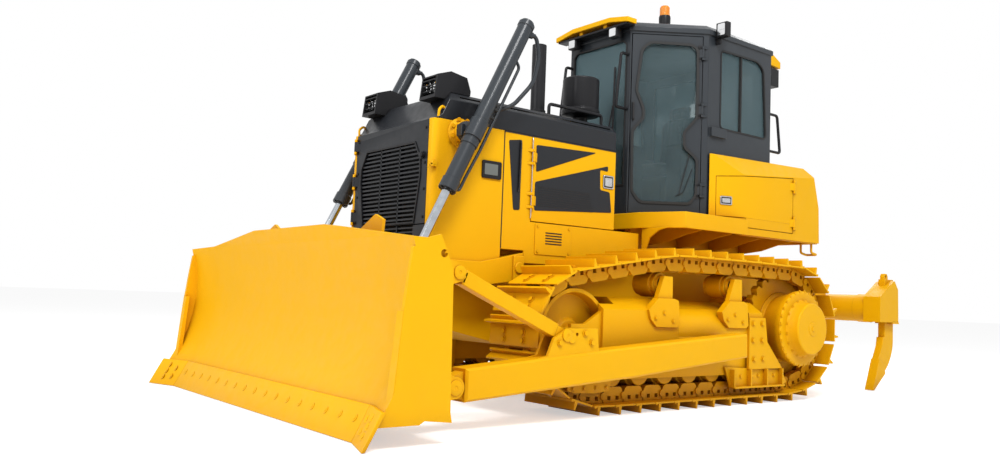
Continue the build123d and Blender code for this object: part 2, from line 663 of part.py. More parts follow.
with BuildPart() as cab_lamps:
    for side, sx in both_sides():
        block(sx * 250, sx * 360, cab_front_y - 110, cab_front_y - 20, 2960, 3050)
        block(sx * 262, sx * 298, cab_front_y - 90, cab_front_y - 40, 3049, 3100 - seat)
        block(sx * (cab_half + seat), sx * (cab_half + 90), cab_post_y + 20, cab_post_y + 130, 2960, 3080)
save(cab_lamps, "cab_lamps")

with BuildPart() as operator_seat:
    block(-250, 250, 500, 1000, 1900, 2040)
    block(-250, 250, 940, 1080, 1960, 2620)
save(operator_seat, "operator_seat")

with BuildPart() as control_consoles:
    block(-180, 180, 560, 940, cab_floor_z + 50 + seat, 1900 - seat)
    for side, sx in both_sides():
        block(sx * 310, sx * 480, 480, 1000, cab_floor_z + 50 + seat, 2150)
    block(-250, 250, 40, 240, cab_floor_z + 50 + seat, 2120)
save(control_consoles, "control_consoles")

# ---- blade --------------------------------------------------------------------------
wing = Vector(cos(radians(wing_angle)), -sin(radians(wing_angle)), 0)
wing_length = (blade_half - blade_fold) / cos(radians(wing_angle))


edge_bottom_z, edge_top_z = 2.0, 190.0
edge_front_y = -3089.0
edge_lean = 0.574  # run back for each millimetre up


def edge_back(z):
    """Where the cutting edge's rear face lies at a height."""
    return edge_front_y + edge_thickness * 0.8 + edge_lean * (z - edge_bottom_z)


def blade_section(x):
    """Moldboard curve in front, closed box behind."""
    with BuildSketch(Plane.YZ.offset(x)) as section:
        with BuildLine():
            face = ThreePointArc((edge_back(edge_top_z) + seat, edge_top_z), (-2815, 600), (-2880, blade_height))
            Polyline(face @ 1, (-2790, blade_height), (-2640, 1000), (-2640, 260), (-2760, 110),
                     (edge_back(110) + seat, 110), face @ 0)
        make_face()
    return section.sketch


with BuildPart() as blade_board:
    extrude(blade_section(-blade_fold), amount=2 * blade_fold)
    for side, sx in both_sides():
        extrude(blade_section(sx * blade_fold), amount=wing_length, dir=(sx * wing.X, wing.Y, 0))
    for side, sx in both_sides():
        front_plate([(sx * blade_plateau, blade_height), (sx * (blade_half - 300), blade_shoulder + 25),
                     (sx * (blade_half + 5), blade_shoulder), (sx * (blade_half + 5), blade_height + 50),
                     (sx * blade_plateau, blade_height + 50)], -3200, -2500, mode=Mode.SUBTRACT)
        # pocket for the lift rod's eye
        block(sx * (lift_x - 60), sx * (lift_x + 60), -2720, -2600, 380, 800, mode=Mode.SUBTRACT)
        cross_bar(lift_eye_y, lift_eye_z, 26, sx * (lift_x - 60), sx * (lift_x + 60))
        for x in (sx * (lift_x - 80), sx * (lift_x + 60)):
            side_plate([(-2641, 400), (-2641, 760), (lift_eye_y, 640), (lift_eye_y + 70, lift_eye_z),
                        (lift_eye_y, lift_eye_z - 90)], x, x + sx * 20)
        # side plate
        side_plate([(-2935, 1010), (-2830, 1062), (-2763, 1083), (-2672, 900), (-2650, 165), (-2640, 110),
                    (-3020, 196), (-2975, 240), (-2895, 650), (-2880, 900)],
                   sx * (blade_half - 25), sx * blade_half)
        cross_bar(lug_hole_y, lug_hole_z, lug_hole_radius, sx * (blade_half - 26), sx * (blade_half + 1),
                  mode=Mode.SUBTRACT)
save(blade_board, "blade_board")

edge_section = [
    (edge_front_y, edge_bottom_z), (edge_back(edge_bottom_z), edge_bottom_z), (edge_back(edge_top_z - 4), edge_top_z - 4),
    (edge_back(edge_top_z - 4) - edge_thickness, edge_top_z),
]
end_bit_half = 1700.0
with BuildPart() as cutting_edges:
    side_plate(edge_section, -blade_fold + 1, blade_fold - 1)
    for side, sx in both_sides():
        drop = wing.Y / wing.X  # the wing has turned this far forward at the joint
        with BuildSketch(Plane.YZ.offset(sx * (blade_fold + 1))):
            with BuildLine():
                Polyline(*[(y + drop, z) for y, z in edge_section], close=True)
            make_face()
        extrude(amount=(end_bit_half - blade_fold - 1) / wing.X, dir=(sx * wing.X, wing.Y, 0))
save(cutting_edges, "cutting_edges")

with BuildPart() as push_arms:
    for side, sx in both_sides():
        side_plate([(-2640 + seat, 150), (-2640 + seat, 360), (-1307, 447), (arm_pivot_y + 90, 565),
                    (arm_pivot_y + 90, 375), (-926, 265), (-1882, 196)], sx * arm_inner, sx * arm_outer)
        cross_bar(arm_pivot_y, arm_pivot_z, 66, sx * (arm_inner - 1), sx * (arm_outer + 1), mode=Mode.SUBTRACT)
        # bracket for the brace
        for x in (arm_inner + 10, arm_outer - 48):
            side_plate([(-1720, 412), (-1640, 560), (-1560, 600), (-1420, 590), (-1250, 540), (-1250, 451)],
                       sx * x, sx * (x + 22))
        cross_bar(brace_pin_y, brace_pin_z, brace_pin_radius + seat, sx * (arm_inner + 9), sx * (arm_outer - 25),
                  mode=Mode.SUBTRACT)
save(push_arms, "push_arms")

with BuildPart() as blade_braces:
    for side, sx in both_sides():
        side_plate([(-2640 + seat, 960), (-2640 + seat, 1060), (-1560, 590), (-1600, 510)],
                   sx * (arm_inner + 32 + seat), sx * (arm_outer - 48 - seat))
        cross_bar(brace_pin_y, brace_pin_z, brace_pin_radius, sx * (arm_inner + 10), sx * (arm_outer - 26))
save(blade_braces, "blade_braces")

# ---- lift cylinders --------------------------------------------------------------------
lift_dy, lift_dz = lift_eye_y - lift_pivot_y, lift_eye_z - lift_pivot_z
lift_length = hypot(lift_dy, lift_dz)
lift_axis = Vector(0, lift_dy / lift_length, lift_dz / lift_length)
for side, sx in both_sides():
    pivot = Vector(sx * lift_x, lift_pivot_y, lift_pivot_z)
    with BuildPart() as lift_barrel:
        with BuildSketch(Plane(origin=pivot - lift_axis * lift_barrel_up, x_dir=(1, 0, 0), z_dir=lift_axis)):
            Circle(lift_barrel_radius)
        extrude(amount=lift_barrel_up + lift_barrel_down)
        with BuildSketch(Plane(origin=pivot - lift_axis * (lift_barrel_up - 30), x_dir=(1, 0, 0), z_dir=lift_axis)):
            Circle(lift_rod_radius + 1)
        extrude(amount=lift_barrel_up + lift_barrel_down, mode=Mode.SUBTRACT)
        cross_bar(lift_pivot_y, lift_pivot_z, 45, sx * (hood_half + 60 + seat), sx * (lift_x - lift_rod_radius - 5))
    save(lift_barrel, f"lift_barrel_{side}")
    with BuildPart() as lift_rod:
        with BuildSketch(Plane(origin=pivot + lift_axis * 60, x_dir=(1, 0, 0), z_dir=lift_axis)):
            Circle(lift_rod_radius)
        extrude(amount=lift_length - 60 - 60)
        cross_bar(lift_eye_y, lift_eye_z, 85, sx * (lift_x - 45), sx * (lift_x + 45))
        cross_bar(lift_eye_y, lift_eye_z, 26 + eye_drift, sx * (lift_x - 46), sx * (lift_x + 46), mode=Mode.SUBTRACT)
    save(lift_rod, f"lift_rod_{side}")

# ---- ripper -------------------------------------------------------------------------------
with BuildPart() as ripper_frame:
    cross_bar(ripper_beam_y, ripper_beam_z, ripper_beam_radius, -shank_spread - 60, shank_spread + 60)
    for x in (-shank_spread, 0, shank_spread):
        side_plate([(2790, 645), (3150, 645), (3170, 800), (3090, 980), (3010, 1050), (2860, 1050), (2750, 930)],
                   x - 88, x + 88)
        block(x - shank_thick / 2 - seat, x + shank_thick / 2 + seat, 2880, 3085, 600, 1100, mode=Mode.SUBTRACT)
    for side, sx in both_sides():
        side_plate([(ripper_pivot_y - 70, ripper_pivot_z - 60), (ripper_pivot_y - 70, ripper_pivot_z + 60),
                    (ripper_pivot_y, ripper_pivot_z + 80), (ripper_beam_y, ripper_beam_z + 110),
                    (ripper_beam_y, ripper_beam_z - 110), (ripper_pivot_y + 60, ripper_pivot_z - 80)],
                   sx * (ripper_cylinder_x - 20), sx * (ripper_cylinder_x + 20))
        cross_bar(ripper_pivot_y, ripper_pivot_z, 40 + 0.05, sx * (ripper_cylinder_x - 21),
                  sx * (ripper_cylinder_x + 21), mode=Mode.SUBTRACT)
        for x in (sx * (ripper_cylinder_x - 70), sx * (ripper_cylinder_x + 45)):
            side_plate([(2700, 870), (2730, 1040), (ripper_eye_y + 60, 1060), (2930, 930)], x, x + sx * 25)
        block(sx * (ripper_cylinder_x - 70), sx * (ripper_cylinder_x + 70), 2720, 2900, 850, 900)
        cross_bar(ripper_eye_y, ripper_eye_z, 22, sx * (ripper_cylinder_x - 70), sx * (ripper_cylinder_x + 70))
save(ripper_frame, "ripper_frame")

with BuildPart() as ripper_shanks:
    for x in (-shank_spread, 0, shank_spread):
        with BuildSketch(Plane.YZ.offset(x - shank_thick / 2)):
            with BuildLine():
                rear = Polyline((3085 - seat, 1110), (3085 - seat, 560))
                back = ThreePointArc(rear @ 1, (3010, 300), (2700, 22))
                front = Polyline(back @ 1, (2600, 22), (2660, 180))
                belly = ThreePointArc(front @ 1, (2840, 390), (2880 + seat, 600))
                Polyline(belly @ 1, (2880 + seat, 1110), rear @ 0)
            make_face()
        extrude(amount=shank_thick)
save(ripper_shanks, "ripper_shanks")

base = Vector(0, ripper_base_y, ripper_base_z)
reach = Vector(0, ripper_eye_y - ripper_base_y, ripper_eye_z - ripper_base_z)
ripper_length = reach.length
ripper_axis = reach.normalized()
ripper_barrel_length = 430.0
with BuildPart() as ripper_barrels:
    for side, sx in both_sides():
        start = base + Vector(sx * ripper_cylinder_x, 0, 0)
        with BuildSketch(Plane(origin=start + ripper_axis * 40, x_dir=(1, 0, 0), z_dir=ripper_axis)):
            Circle(50)
        extrude(amount=ripper_barrel_length)
        with BuildSketch(Plane(origin=start + ripper_axis * 80, x_dir=(1, 0, 0), z_dir=ripper_axis)):
            Circle(26)
        extrude(amount=ripper_barrel_length, mode=Mode.SUBTRACT)
        cross_bar(ripper_base_y, ripper_base_z, 50, start.X - 35, start.X + 35)
        cross_bar(ripper_base_y, ripper_base_z, 25.05, start.X - 36, start.X + 36, mode=Mode.SUBTRACT)
save(ripper_barrels, "ripper_barrels")

with BuildPart() as ripper_rods:
    for side, sx in both_sides():
        start = base + Vector(sx * ripper_cylinder_x, 0, 0)
        with BuildSketch(Plane(origin=start + ripper_axis * 360, x_dir=(1, 0, 0), z_dir=ripper_axis)):
            Circle(25)
        extrude(amount=ripper_length - 360 - 40)
        cross_bar(ripper_eye_y, ripper_eye_z, 50, start.X - 38, start.X + 38)
        cross_bar(ripper_eye_y, ripper_eye_z, 34, start.X - 39, start.X + 39, mode=Mode.SUBTRACT)
save(ripper_rods, "ripper_rods")
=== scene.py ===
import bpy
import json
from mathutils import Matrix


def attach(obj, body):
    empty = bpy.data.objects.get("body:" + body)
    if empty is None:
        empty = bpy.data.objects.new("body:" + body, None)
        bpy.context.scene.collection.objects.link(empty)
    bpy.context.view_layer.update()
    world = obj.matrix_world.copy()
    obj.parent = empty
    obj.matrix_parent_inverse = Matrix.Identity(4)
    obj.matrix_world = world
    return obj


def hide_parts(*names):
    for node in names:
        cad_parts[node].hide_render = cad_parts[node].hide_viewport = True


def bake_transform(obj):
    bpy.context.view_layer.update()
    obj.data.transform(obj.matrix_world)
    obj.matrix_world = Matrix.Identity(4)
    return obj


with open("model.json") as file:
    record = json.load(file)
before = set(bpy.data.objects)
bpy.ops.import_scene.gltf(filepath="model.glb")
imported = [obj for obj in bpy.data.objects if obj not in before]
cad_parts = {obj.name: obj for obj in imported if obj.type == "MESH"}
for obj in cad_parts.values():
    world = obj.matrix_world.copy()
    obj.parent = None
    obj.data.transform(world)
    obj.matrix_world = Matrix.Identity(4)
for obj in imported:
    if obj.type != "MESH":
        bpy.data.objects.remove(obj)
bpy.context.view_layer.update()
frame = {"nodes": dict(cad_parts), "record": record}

from contextlib import contextmanager
import json
import math
import bpy
import bmesh
from mathutils import Matrix, Vector

print("frame loaded", len(frame["nodes"]), "nodes")

def linked(name, data):
    obj = bpy.data.objects.new(name, data)
    bpy.context.scene.collection.objects.link(obj)
    return obj


# camera

cameraView = {
    "place": (5.402, -5.263, 0.768),  # metres
    "yaw": 51.16, "pitch": 4.55, "roll": 2.16,  # degrees
    "lens": 31.17, "sensor": 36.0,  # millimetres
    "shift": (-0.0183, -0.006),
}


def makeCamera(look):
    data = bpy.data.cameras.new("viewCamera")
    data.lens, data.sensor_width = look["lens"], look["sensor"]
    data.shift_x, data.shift_y = look["shift"]
    data.clip_end = 200
    cam = linked("viewCamera", data)
    yaw, pitch, roll = (math.radians(look[k]) for k in ("yaw", "pitch", "roll"))
    ahead = Vector((-math.sin(yaw), math.cos(yaw), 0))
    side = Vector((math.cos(yaw), math.sin(yaw), 0))
    up = Vector((0, 0, 1))
    aim = ahead * math.cos(pitch) + up * math.sin(pitch)
    top = up * math.cos(pitch) - ahead * math.sin(pitch)
    right = side * math.cos(roll) + top * math.sin(roll)
    top = top * math.cos(roll) - side * math.sin(roll)
    turn = Matrix((right, top, -aim)).transposed()
    cam.matrix_world = Matrix.Translation(look["place"]) @ turn.to_4x4()
    bpy.context.scene.camera = cam


makeCamera(cameraView)

# floor, world and lamps

studio = {
    "fill": 0.50,  # strength of the world's light on the object
    "floorShade": (0.86, 0.86, 0.86, 1),
    "floorGlow": 0.52,  # lifts the floor to white for the camera, and leaves the shadow
    "key": (6.5, -3.5, 9.0, 700.0, 3.0),  # x, y, z, watts, size
    "front": (1.0, -10.0, 5.0, 260.0, 5.0),
    "back": (-4.0, 8.0, 7.0, 320.0, 5.0),
}


def shaderNodes(mat):
    mat.use_nodes = True
    tree = mat.node_tree
    tree.nodes.clear()
    return tree, tree.nodes, tree.links


def eitherRay(nodes, links):
    path = nodes.new("ShaderNodeLightPath")
    last = path.outputs["Is Camera Ray"]
    for other in ("Is Transmission Ray", "Is Glossy Ray"):
        more = nodes.new("ShaderNodeMath")
        more.operation = "MAXIMUM"
        links.new(last, more.inputs[0])
        links.new(path.outputs[other], more.inputs[1])
        last = more.outputs[0]
    return last


def makeStudio(look):
    scene = bpy.context.scene
    world = bpy.data.worlds.new("studioWorld")
    scene.world = world
    tree, nodes, links = shaderNodes(world)
    out = nodes.new("ShaderNodeOutputWorld")
    light = nodes.new("ShaderNodeBackground")
    white = nodes.new("ShaderNodeBackground")
    light.inputs[1].default_value, white.inputs[1].default_value = look["fill"], 1.0
    for n in (light, white):
        n.inputs[0].default_value = (1, 1, 1, 1)
    mix = nodes.new("ShaderNodeMixShader")
    links.new(eitherRay(nodes, links), mix.inputs[0])
    links.new(light.outputs[0], mix.inputs[1])
    links.new(white.outputs[0], mix.inputs[2])
    links.new(mix.outputs[0], out.inputs[0])

    floorMesh = bpy.data.meshes.new("studioFloor")
    floorMesh.from_pydata([(-90, -90, 0), (90, -90, 0), (90, 90, 0), (-90, 90, 0)], [], [(0, 1, 2, 3)])
    floor = linked("studioFloor", floorMesh)
    floor.location.z = -0.002
    mat = bpy.data.materials.new("studioFloor")
    tree, nodes, links = shaderNodes(mat)
    out = nodes.new("ShaderNodeOutputMaterial")
    plain = nodes.new("ShaderNodeBsdfDiffuse")
    plain.inputs[0].default_value = look["floorShade"]
    glow = nodes.new("ShaderNodeEmission")
    glow.inputs[1].default_value = look["floorGlow"]
    lifted = nodes.new("ShaderNodeAddShader")
    mix = nodes.new("ShaderNodeMixShader")
    links.new(plain.outputs[0], lifted.inputs[0])
    links.new(glow.outputs[0], lifted.inputs[1])
    links.new(eitherRay(nodes, links), mix.inputs[0])
    links.new(plain.outputs[0], mix.inputs[1])
    links.new(lifted.outputs[0], mix.inputs[2])
    links.new(mix.outputs[0], out.inputs[0])
    floorMesh.materials.append(mat)
    for name in ("key", "front", "back"):
        x, y, z, watts, size = look[name]
        lamp = bpy.data.lights.new(name + "Lamp", "AREA")
        lamp.energy, lamp.size = watts, size
        holder = linked(name + "Lamp", lamp)
        holder.location = (x, y, z)
        holder.rotation_euler = (Vector((0, 0, 1)) - Vector((x, y, z))).to_track_quat("-Z", "Y").to_euler()
    scene.view_settings.view_transform = "Standard"


makeStudio(studio)
print("studio made")

# materials

paints = {
    # base colour, painted shade in the corners, colour of the dust, roughness, clear coat, how far dust rises (m)
    "yellow": dict(name="yellowPaint", slot="yellow_paint", base=(0.94, 0.49, 0.0008), deep=(0.48, 0.19, 0.0008),
        dust=(0.62, 0.34, 0.02), rough=0.46, coat=0.02, dustTop=0.7, dustMost=0.10, grain=90),
    "slate": dict(name="slatePaint", slot="grey_paint", base=(0.034, 0.040, 0.047), deep=(0.007, 0.008, 0.010),
        dust=(0.16, 0.15, 0.14), rough=0.40, coat=0.25, dustTop=1.0, dustMost=0.15, grain=90),
    "hood": dict(name="hoodPaint", slot="black_paint", base=(0.017, 0.019, 0.023), deep=(0.004, 0.004, 0.005),
        dust=(0.12, 0.11, 0.10), rough=0.42, coat=0.20, dustTop=1.0, dustMost=0.15, grain=90),
    "black": dict(name="blackPaint", slot="black_paint", base=(0.014, 0.014, 0.016), deep=(0.004, 0.004, 0.004),
        dust=(0.10, 0.09, 0.08), rough=0.45, coat=0.10, dustTop=1.0, dustMost=0.15, grain=120),
    "console": dict(name="consolePlastic", slot="console_plastic", base=(0.035, 0.036, 0.040),
        deep=(0.008, 0.008, 0.009), dust=(0.09, 0.085, 0.08), rough=0.62, coat=0.0, dustTop=0.1, dustMost=0.1,
        grain=420),
    "iron": dict(name="engineIron", slot="engine_iron", base=(0.10, 0.095, 0.09), deep=(0.02, 0.018, 0.016),
        dust=(0.12, 0.09, 0.06), rough=0.6, coat=0.0, dustTop=1.2, dustMost=0.4, grain=260),
}


def setInputs(node, values):
    for label, value in values.items():
        node.inputs[label].default_value = value


def newMat(name):
    # a material with its main shader, and each point's place on the object
    mat = bpy.data.materials.new(name)
    tree, nodes, links = shaderNodes(mat)
    skin = nodes.new("ShaderNodeBsdfPrincipled")
    links.new(skin.outputs[0], nodes.new("ShaderNodeOutputMaterial").inputs[0])
    return mat, nodes, links, skin, nodes.new("ShaderNodeTexCoord").outputs["Object"]


def mathNode(nodes, links, how, a, b):
    node = nodes.new("ShaderNodeMath")
    node.operation = how
    for socket, value in ((0, a), (1, b)):
        if isinstance(value, (int, float)):
            node.inputs[socket].default_value = value
        else:
            links.new(value, node.inputs[socket])
    return node.outputs[0]


def mixColour(nodes, links, share, first, second):
    node = nodes.new("ShaderNodeMix")
    node.data_type = "RGBA"
    for socket, value in ((0, share), (6, first), (7, second)):
        if isinstance(value, tuple):
            node.inputs[socket].default_value = (*value, 1)
        else:
            links.new(value, node.inputs[socket])
    return node.outputs[2]


def noise(nodes, links, place, scale, detail=3.0):
    node = nodes.new("ShaderNodeTexNoise")
    setInputs(node, {"Scale": scale, "Detail": detail})
    links.new(place, node.inputs["Vector"])
    return node.outputs[0]


def ramp(nodes, links, value, low, high, toLow=0.0, toHigh=1.0):
    node = nodes.new("ShaderNodeMapRange")
    node.inputs[1].default_value, node.inputs[2].default_value = low, high
    node.inputs[3].default_value, node.inputs[4].default_value = toLow, toHigh
    links.new(value, node.inputs[0])
    return node.outputs[0]


def bump(nodes, links, height, depth, strength, onto):
    node = nodes.new("ShaderNodeBump")
    setInputs(node, {"Strength": strength, "Distance": depth})
    links.new(height, node.inputs["Height"])
    links.new(node.outputs[0], onto.inputs["Normal"])


def paintMat(name, look):
    mat, nodes, links, skin, place = newMat(name)
    # painted shade: the colour darkens towards the corner colour where ambient occlusion finds corners, creases and
    # recesses
    corner = nodes.new("ShaderNodeAmbientOcclusion")
    corner.samples = 6
    corner.inputs["Distance"].default_value = 0.22
    openness = ramp(nodes, links, corner.outputs["AO"], 0.25, 0.95)
    body = mixColour(nodes, links, openness, look["deep"], look["base"])
    # slow drift of the colour over large panels
    drift = ramp(nodes, links, noise(nodes, links, place, 2.2), 0.35, 0.65, 0.0, 0.10)
    body = mixColour(nodes, links, drift, body, tuple(c * 0.8 for c in look["base"]))
    # dust low down, in patches
    split = nodes.new("ShaderNodeSeparateXYZ")
    links.new(place, split.inputs[0])
    low = ramp(nodes, links, split.outputs[2], 0.0, look["dustTop"], 1.0, 0.0)
    patches = ramp(nodes, links, noise(nodes, links, place, 9.0, 6.0), 0.42, 0.70)
    dusty = mathNode(nodes, links, "MULTIPLY", mathNode(nodes, links, "MULTIPLY", low, patches), look["dustMost"])
    body = mixColour(nodes, links, dusty, body, look["dust"])
    links.new(body, skin.inputs["Base Color"])
    links.new(ramp(nodes, links, noise(nodes, links, place, 14.0), 0.3, 0.7, look["rough"] - 0.05,
        look["rough"] + 0.09), skin.inputs["Roughness"])
    setInputs(skin, {"Specular IOR Level": 0.16, "Coat Weight": look["coat"], "Coat Roughness": 0.15})
    bump(nodes, links, noise(nodes, links, place, look["grain"], 2.0), 0.0008, 0.22, skin)
    return mat


bareMetals = {
    # colour, roughness, metallic, scale of the brushing or casting grain, its depth
    "chrome": dict(name="rodChrome", slot="chrome", base=(0.50, 0.53, 0.56), rough=0.12, metal=1.0, grain=300,
        depth=0.00002),
    "latch": dict(name="latchSteel", slot="chrome", base=(0.62, 0.62, 0.62), rough=0.28, metal=1.0, grain=500,
        depth=0.0002),
    "silver": dict(name="lampSilver", slot="chrome", base=(0.86, 0.87, 0.88), rough=0.12, metal=1.0, grain=60,
        depth=0.0010),
    "rubber": dict(name="rubber", slot="lamp_black", base=(0.012, 0.012, 0.012), rough=0.68, metal=0.0, grain=700,
        depth=0.0003),
    "belt": dict(name="beltBlack", slot="lamp_black", base=(0.02, 0.02, 0.022), rough=0.80, metal=0.0, grain=1100,
        depth=0.0006),
    "core": dict(name="coreBlack", slot="lamp_black", base=(0.010, 0.010, 0.011), rough=0.75, metal=0.0, grain=400,
        depth=0.0010),
    "screen": dict(name="screenGlass", slot="tinted_glass", base=(0.16, 0.18, 0.17), rough=0.12, metal=0.0,
        grain=30, depth=0.0001),
}


def metalMat(name, look):
    mat, nodes, links, skin, place = newMat(name)
    wide = ramp(nodes, links, noise(nodes, links, place, look["grain"] / 12), 0.3, 0.7)
    body = mixColour(nodes, links, wide, tuple(c * 0.82 for c in look["base"]), look["base"])
    links.new(body, skin.inputs["Base Color"])
    fine = noise(nodes, links, place, look["grain"], 3.0)
    links.new(ramp(nodes, links, fine, 0.3, 0.7, max(0.03, look["rough"] - 0.05), look["rough"] + 0.07),
        skin.inputs["Roughness"])
    skin.inputs["Metallic"].default_value = look["metal"]
    bump(nodes, links, fine, look["depth"], 0.3, skin)
    return mat


glassLook = {"tint": (0.93, 0.96, 0.96), "clear": 0.68, "rough": 0.02}


def glassMat(name, look):
    mat = bpy.data.materials.new(name)
    tree, nodes, links = shaderNodes(mat)
    out = nodes.new("ShaderNodeOutputMaterial")
    through = nodes.new("ShaderNodeBsdfTransparent")
    through.inputs[0].default_value = (*look["tint"], 1)
    shine = nodes.new("ShaderNodeBsdfPrincipled")
    setInputs(shine, {"Base Color": (0.20, 0.30, 0.33, 1), "Roughness": look["rough"]})
    place = nodes.new("ShaderNodeTexCoord").outputs["Object"]
    film = ramp(nodes, links, noise(nodes, links, place, 3.0, 5.0), 0.3, 0.7, 0.0, 0.10)
    edge = nodes.new("ShaderNodeFresnel")
    edge.inputs[0].default_value = 1.5
    solid = mathNode(nodes, links, "ADD", mathNode(nodes, links, "MULTIPLY", edge.outputs[0], 0.8), film)
    solid = mathNode(nodes, links, "ADD", solid, 1.0 - look["clear"] - 0.2)
    mix = nodes.new("ShaderNodeMixShader")
    links.new(solid, mix.inputs[0])
    links.new(through.outputs[0], mix.inputs[1])
    links.new(shine.outputs[0], mix.inputs[2])
    links.new(mix.outputs[0], out.inputs[0])
    return mat


lensLook = {"amber": (0.95, 0.30, 0.01), "ridge": 260}


def lensMat(name, look):
    mat, nodes, links, skin, place = newMat(name)
    setInputs(skin, {"Roughness": 0.14, "Subsurface Weight": 0.3})
    wave = nodes.new("ShaderNodeTexWave")
    wave.bands_direction = "Z"
    wave.inputs["Scale"].default_value = look["ridge"] / 6
    links.new(place, wave.inputs["Vector"])
    body = mixColour(nodes, links, wave.outputs[1], tuple(c * 0.75 for c in look["amber"]), look["amber"])
    links.new(body, skin.inputs["Base Color"])
    bump(nodes, links, wave.outputs[1], 0.002, 0.5, skin)
    return mat


fabricLook = {"yarn": (0.030, 0.031, 0.036), "gap": (0.008, 0.008, 0.009), "threads": 900}


def fabricMat(name, look):
    mat, nodes, links, skin, place = newMat(name)
    setInputs(skin, {"Roughness": 0.85, "Sheen Weight": 0.3})
    weave = []
    for direction in ("X", "Z"):
        wave = nodes.new("ShaderNodeTexWave")
        wave.bands_direction = direction
        wave.inputs["Scale"].default_value = look["threads"] / 6
        wave.inputs["Distortion"].default_value = 0.6
        links.new(place, wave.inputs["Vector"])
        weave.append(wave.outputs[1])
    cloth = mathNode(nodes, links, "MULTIPLY", *weave)
    links.new(mixColour(nodes, links, cloth, look["gap"], look["yarn"]), skin.inputs["Base Color"])
    bump(nodes, links, cloth, 0.0015, 0.6, skin)
    return mat


# each look: its material, and the record's slot that it belongs to
looks = {key: (make(look["name"], look), look["slot"]) for group, make in ((paints, paintMat), (bareMetals, metalMat))
    for key, look in group.items()}
looks |= {
    "glass": (glassMat("cabGlass", glassLook), "tinted_glass"),
    "amber": (lensMat("amberLens", lensLook), "amber_lens"),
    "fabric": (fabricMat("seatFabric", fabricLook), "seat_fabric"),
}
slotLook = {
    "yellow_paint": "yellow", "grey_paint": "slate", "track_steel": "yellow", "worn_steel": "yellow",
    "black_paint": "black", "chrome": "chrome", "tinted_glass": "glass", "amber_lens": "amber", "lamp_black": "black",
    "seat_fabric": "fabric", "console_plastic": "console", "engine_iron": "iron",
}
edgeBreak = {"width": 0.004, "angle": 32.0, "steps": 2}  # rounded edges of the plates, metres and degrees
thinNodes = ("cab_glass", "door_glass_left", "door_glass_right", "beacon", "lift_rod_left", "lift_rod_right")


def softEdges(obj, width):
    soft = obj.modifiers.new("edges", "BEVEL")
    soft.width, soft.segments = width, edgeBreak["steps"]
    soft.limit_method, soft.angle_limit = "ANGLE", math.radians(edgeBreak["angle"])


def finishNodes():
    slotOf = {s["node"]: s["material_slot"] for s in frame["record"]["subparts"]}
    for name, node in frame["nodes"].items():
        node.data.materials.clear()
        node.data.materials.append(looks[slotLook[slotOf[name]]][0])
        if name in thinNodes:
            continue
        weld = node.modifiers.new("weld", "WELD")
        weld.merge_threshold = 0.00005
        softEdges(node, edgeBreak["width"])


finishNodes()
print("materials made")

# shapes

mm = 0.001


def at(x, y, z):
    return Vector((x, y, z)) * mm


def planeOf(origin, across, up, out):
    return [Vector(origin) * mm, Vector(across).normalized(), Vector(up).normalized(), Vector(out).normalized()]


def sidePlane(sx, x):
    return planeOf((sx * x, 0, 0), (0, 1, 0), (0, 0, 1), (sx, 0, 0))


def frontPlane(y):
    return planeOf((0, y, 0), (1, 0, 0), (0, 0, 1), (0, -1, 0))


def rearPlane(y):
    return planeOf((0, y, 0), (1, 0, 0), (0, 0, 1), (0, 1, 0))


def topPlane(z):
    return planeOf((0, 0, z), (1, 0, 0), (0, 1, 0), (0, 0, 1))


def doorPlane(sx):  # across runs forward from the cab's rear post
    return planeOf((sx * 770, 470, 0), (-400 * sx, -540, 0), (0, 0, 1), (540 * sx, -400, 0))


def spot(plane, a, b, out=0.0):
    return plane[0] + plane[1] * a * mm + plane[2] * b * mm + plane[3] * out * mm


def rounded(points, radius, steps=4, closed=True):
    done, count = [], len(points)
    points = [Vector(p) for p in points]
    for i, p in enumerate(points):
        if not closed and i in (0, count - 1):
            done.append(p)
            continue
        back, ahead = points[i - 1] - p, points[(i + 1) % count] - p
        reach = min(radius, back.length * 0.48, ahead.length * 0.48)
        a, b = p + back.normalized() * reach, p + ahead.normalized() * reach
        for k in range(steps + 1):
            t = k / steps
            done.append(a * (1 - t) ** 2 + p * 2 * t * (1 - t) + b * t ** 2)
    return done


def bridge(bm, a, b):
    for i in range(len(a)):
        j = (i + 1) % len(a)
        bm.faces.new((a[i], a[j], b[j], b[i]))


def closeSides(bm, lower, upper):
    bm.faces.new(lower[::-1])
    bm.faces.new(upper)
    bridge(bm, lower, upper)


def prism(bm, plane, outline, low, high):
    closeSides(bm, *([bm.verts.new(spot(plane, p[0], p[1], end)) for p in outline] for end in (low, high)))


def rect(a0, a1, b0, b1):
    return [(a0, b0), (a1, b0), (a1, b1), (a0, b1)]


def grown(outline, amount):
    points = [Vector((p[0], p[1])) for p in outline]
    area = sum(a.x * b.y - b.x * a.y for a, b in zip(points, points[1:] + points[:1]))
    turn = 1 if area > 0 else -1
    done = []
    for i, p in enumerate(points):
        a, b = (p - points[i - 1]).normalized(), (points[(i + 1) % len(points)] - p).normalized()
        na, nb = Vector((a.y, -a.x)) * turn, Vector((b.y, -b.x)) * turn
        done.append(p + (na + nb) / max(0.3, 1 + na.dot(nb)) * amount)
    return done


def frameStrip(bm, plane, outline, inner, outer, low, high):
    loops = []
    for amount, height in ((inner, low), (inner, high), (outer, high), (outer, low)):
        loops.append([bm.verts.new(spot(plane, p[0], p[1], height)) for p in grown(outline, amount)])
    for k in range(4):
        bridge(bm, loops[k], loops[(k + 1) % 4])


def ring(bm, middle, u, v, radius, sides):
    turns = (2 * math.pi * k / sides for k in range(sides))
    return [bm.verts.new(middle + (u * math.cos(t) + v * math.sin(t)) * radius * mm) for t in turns]


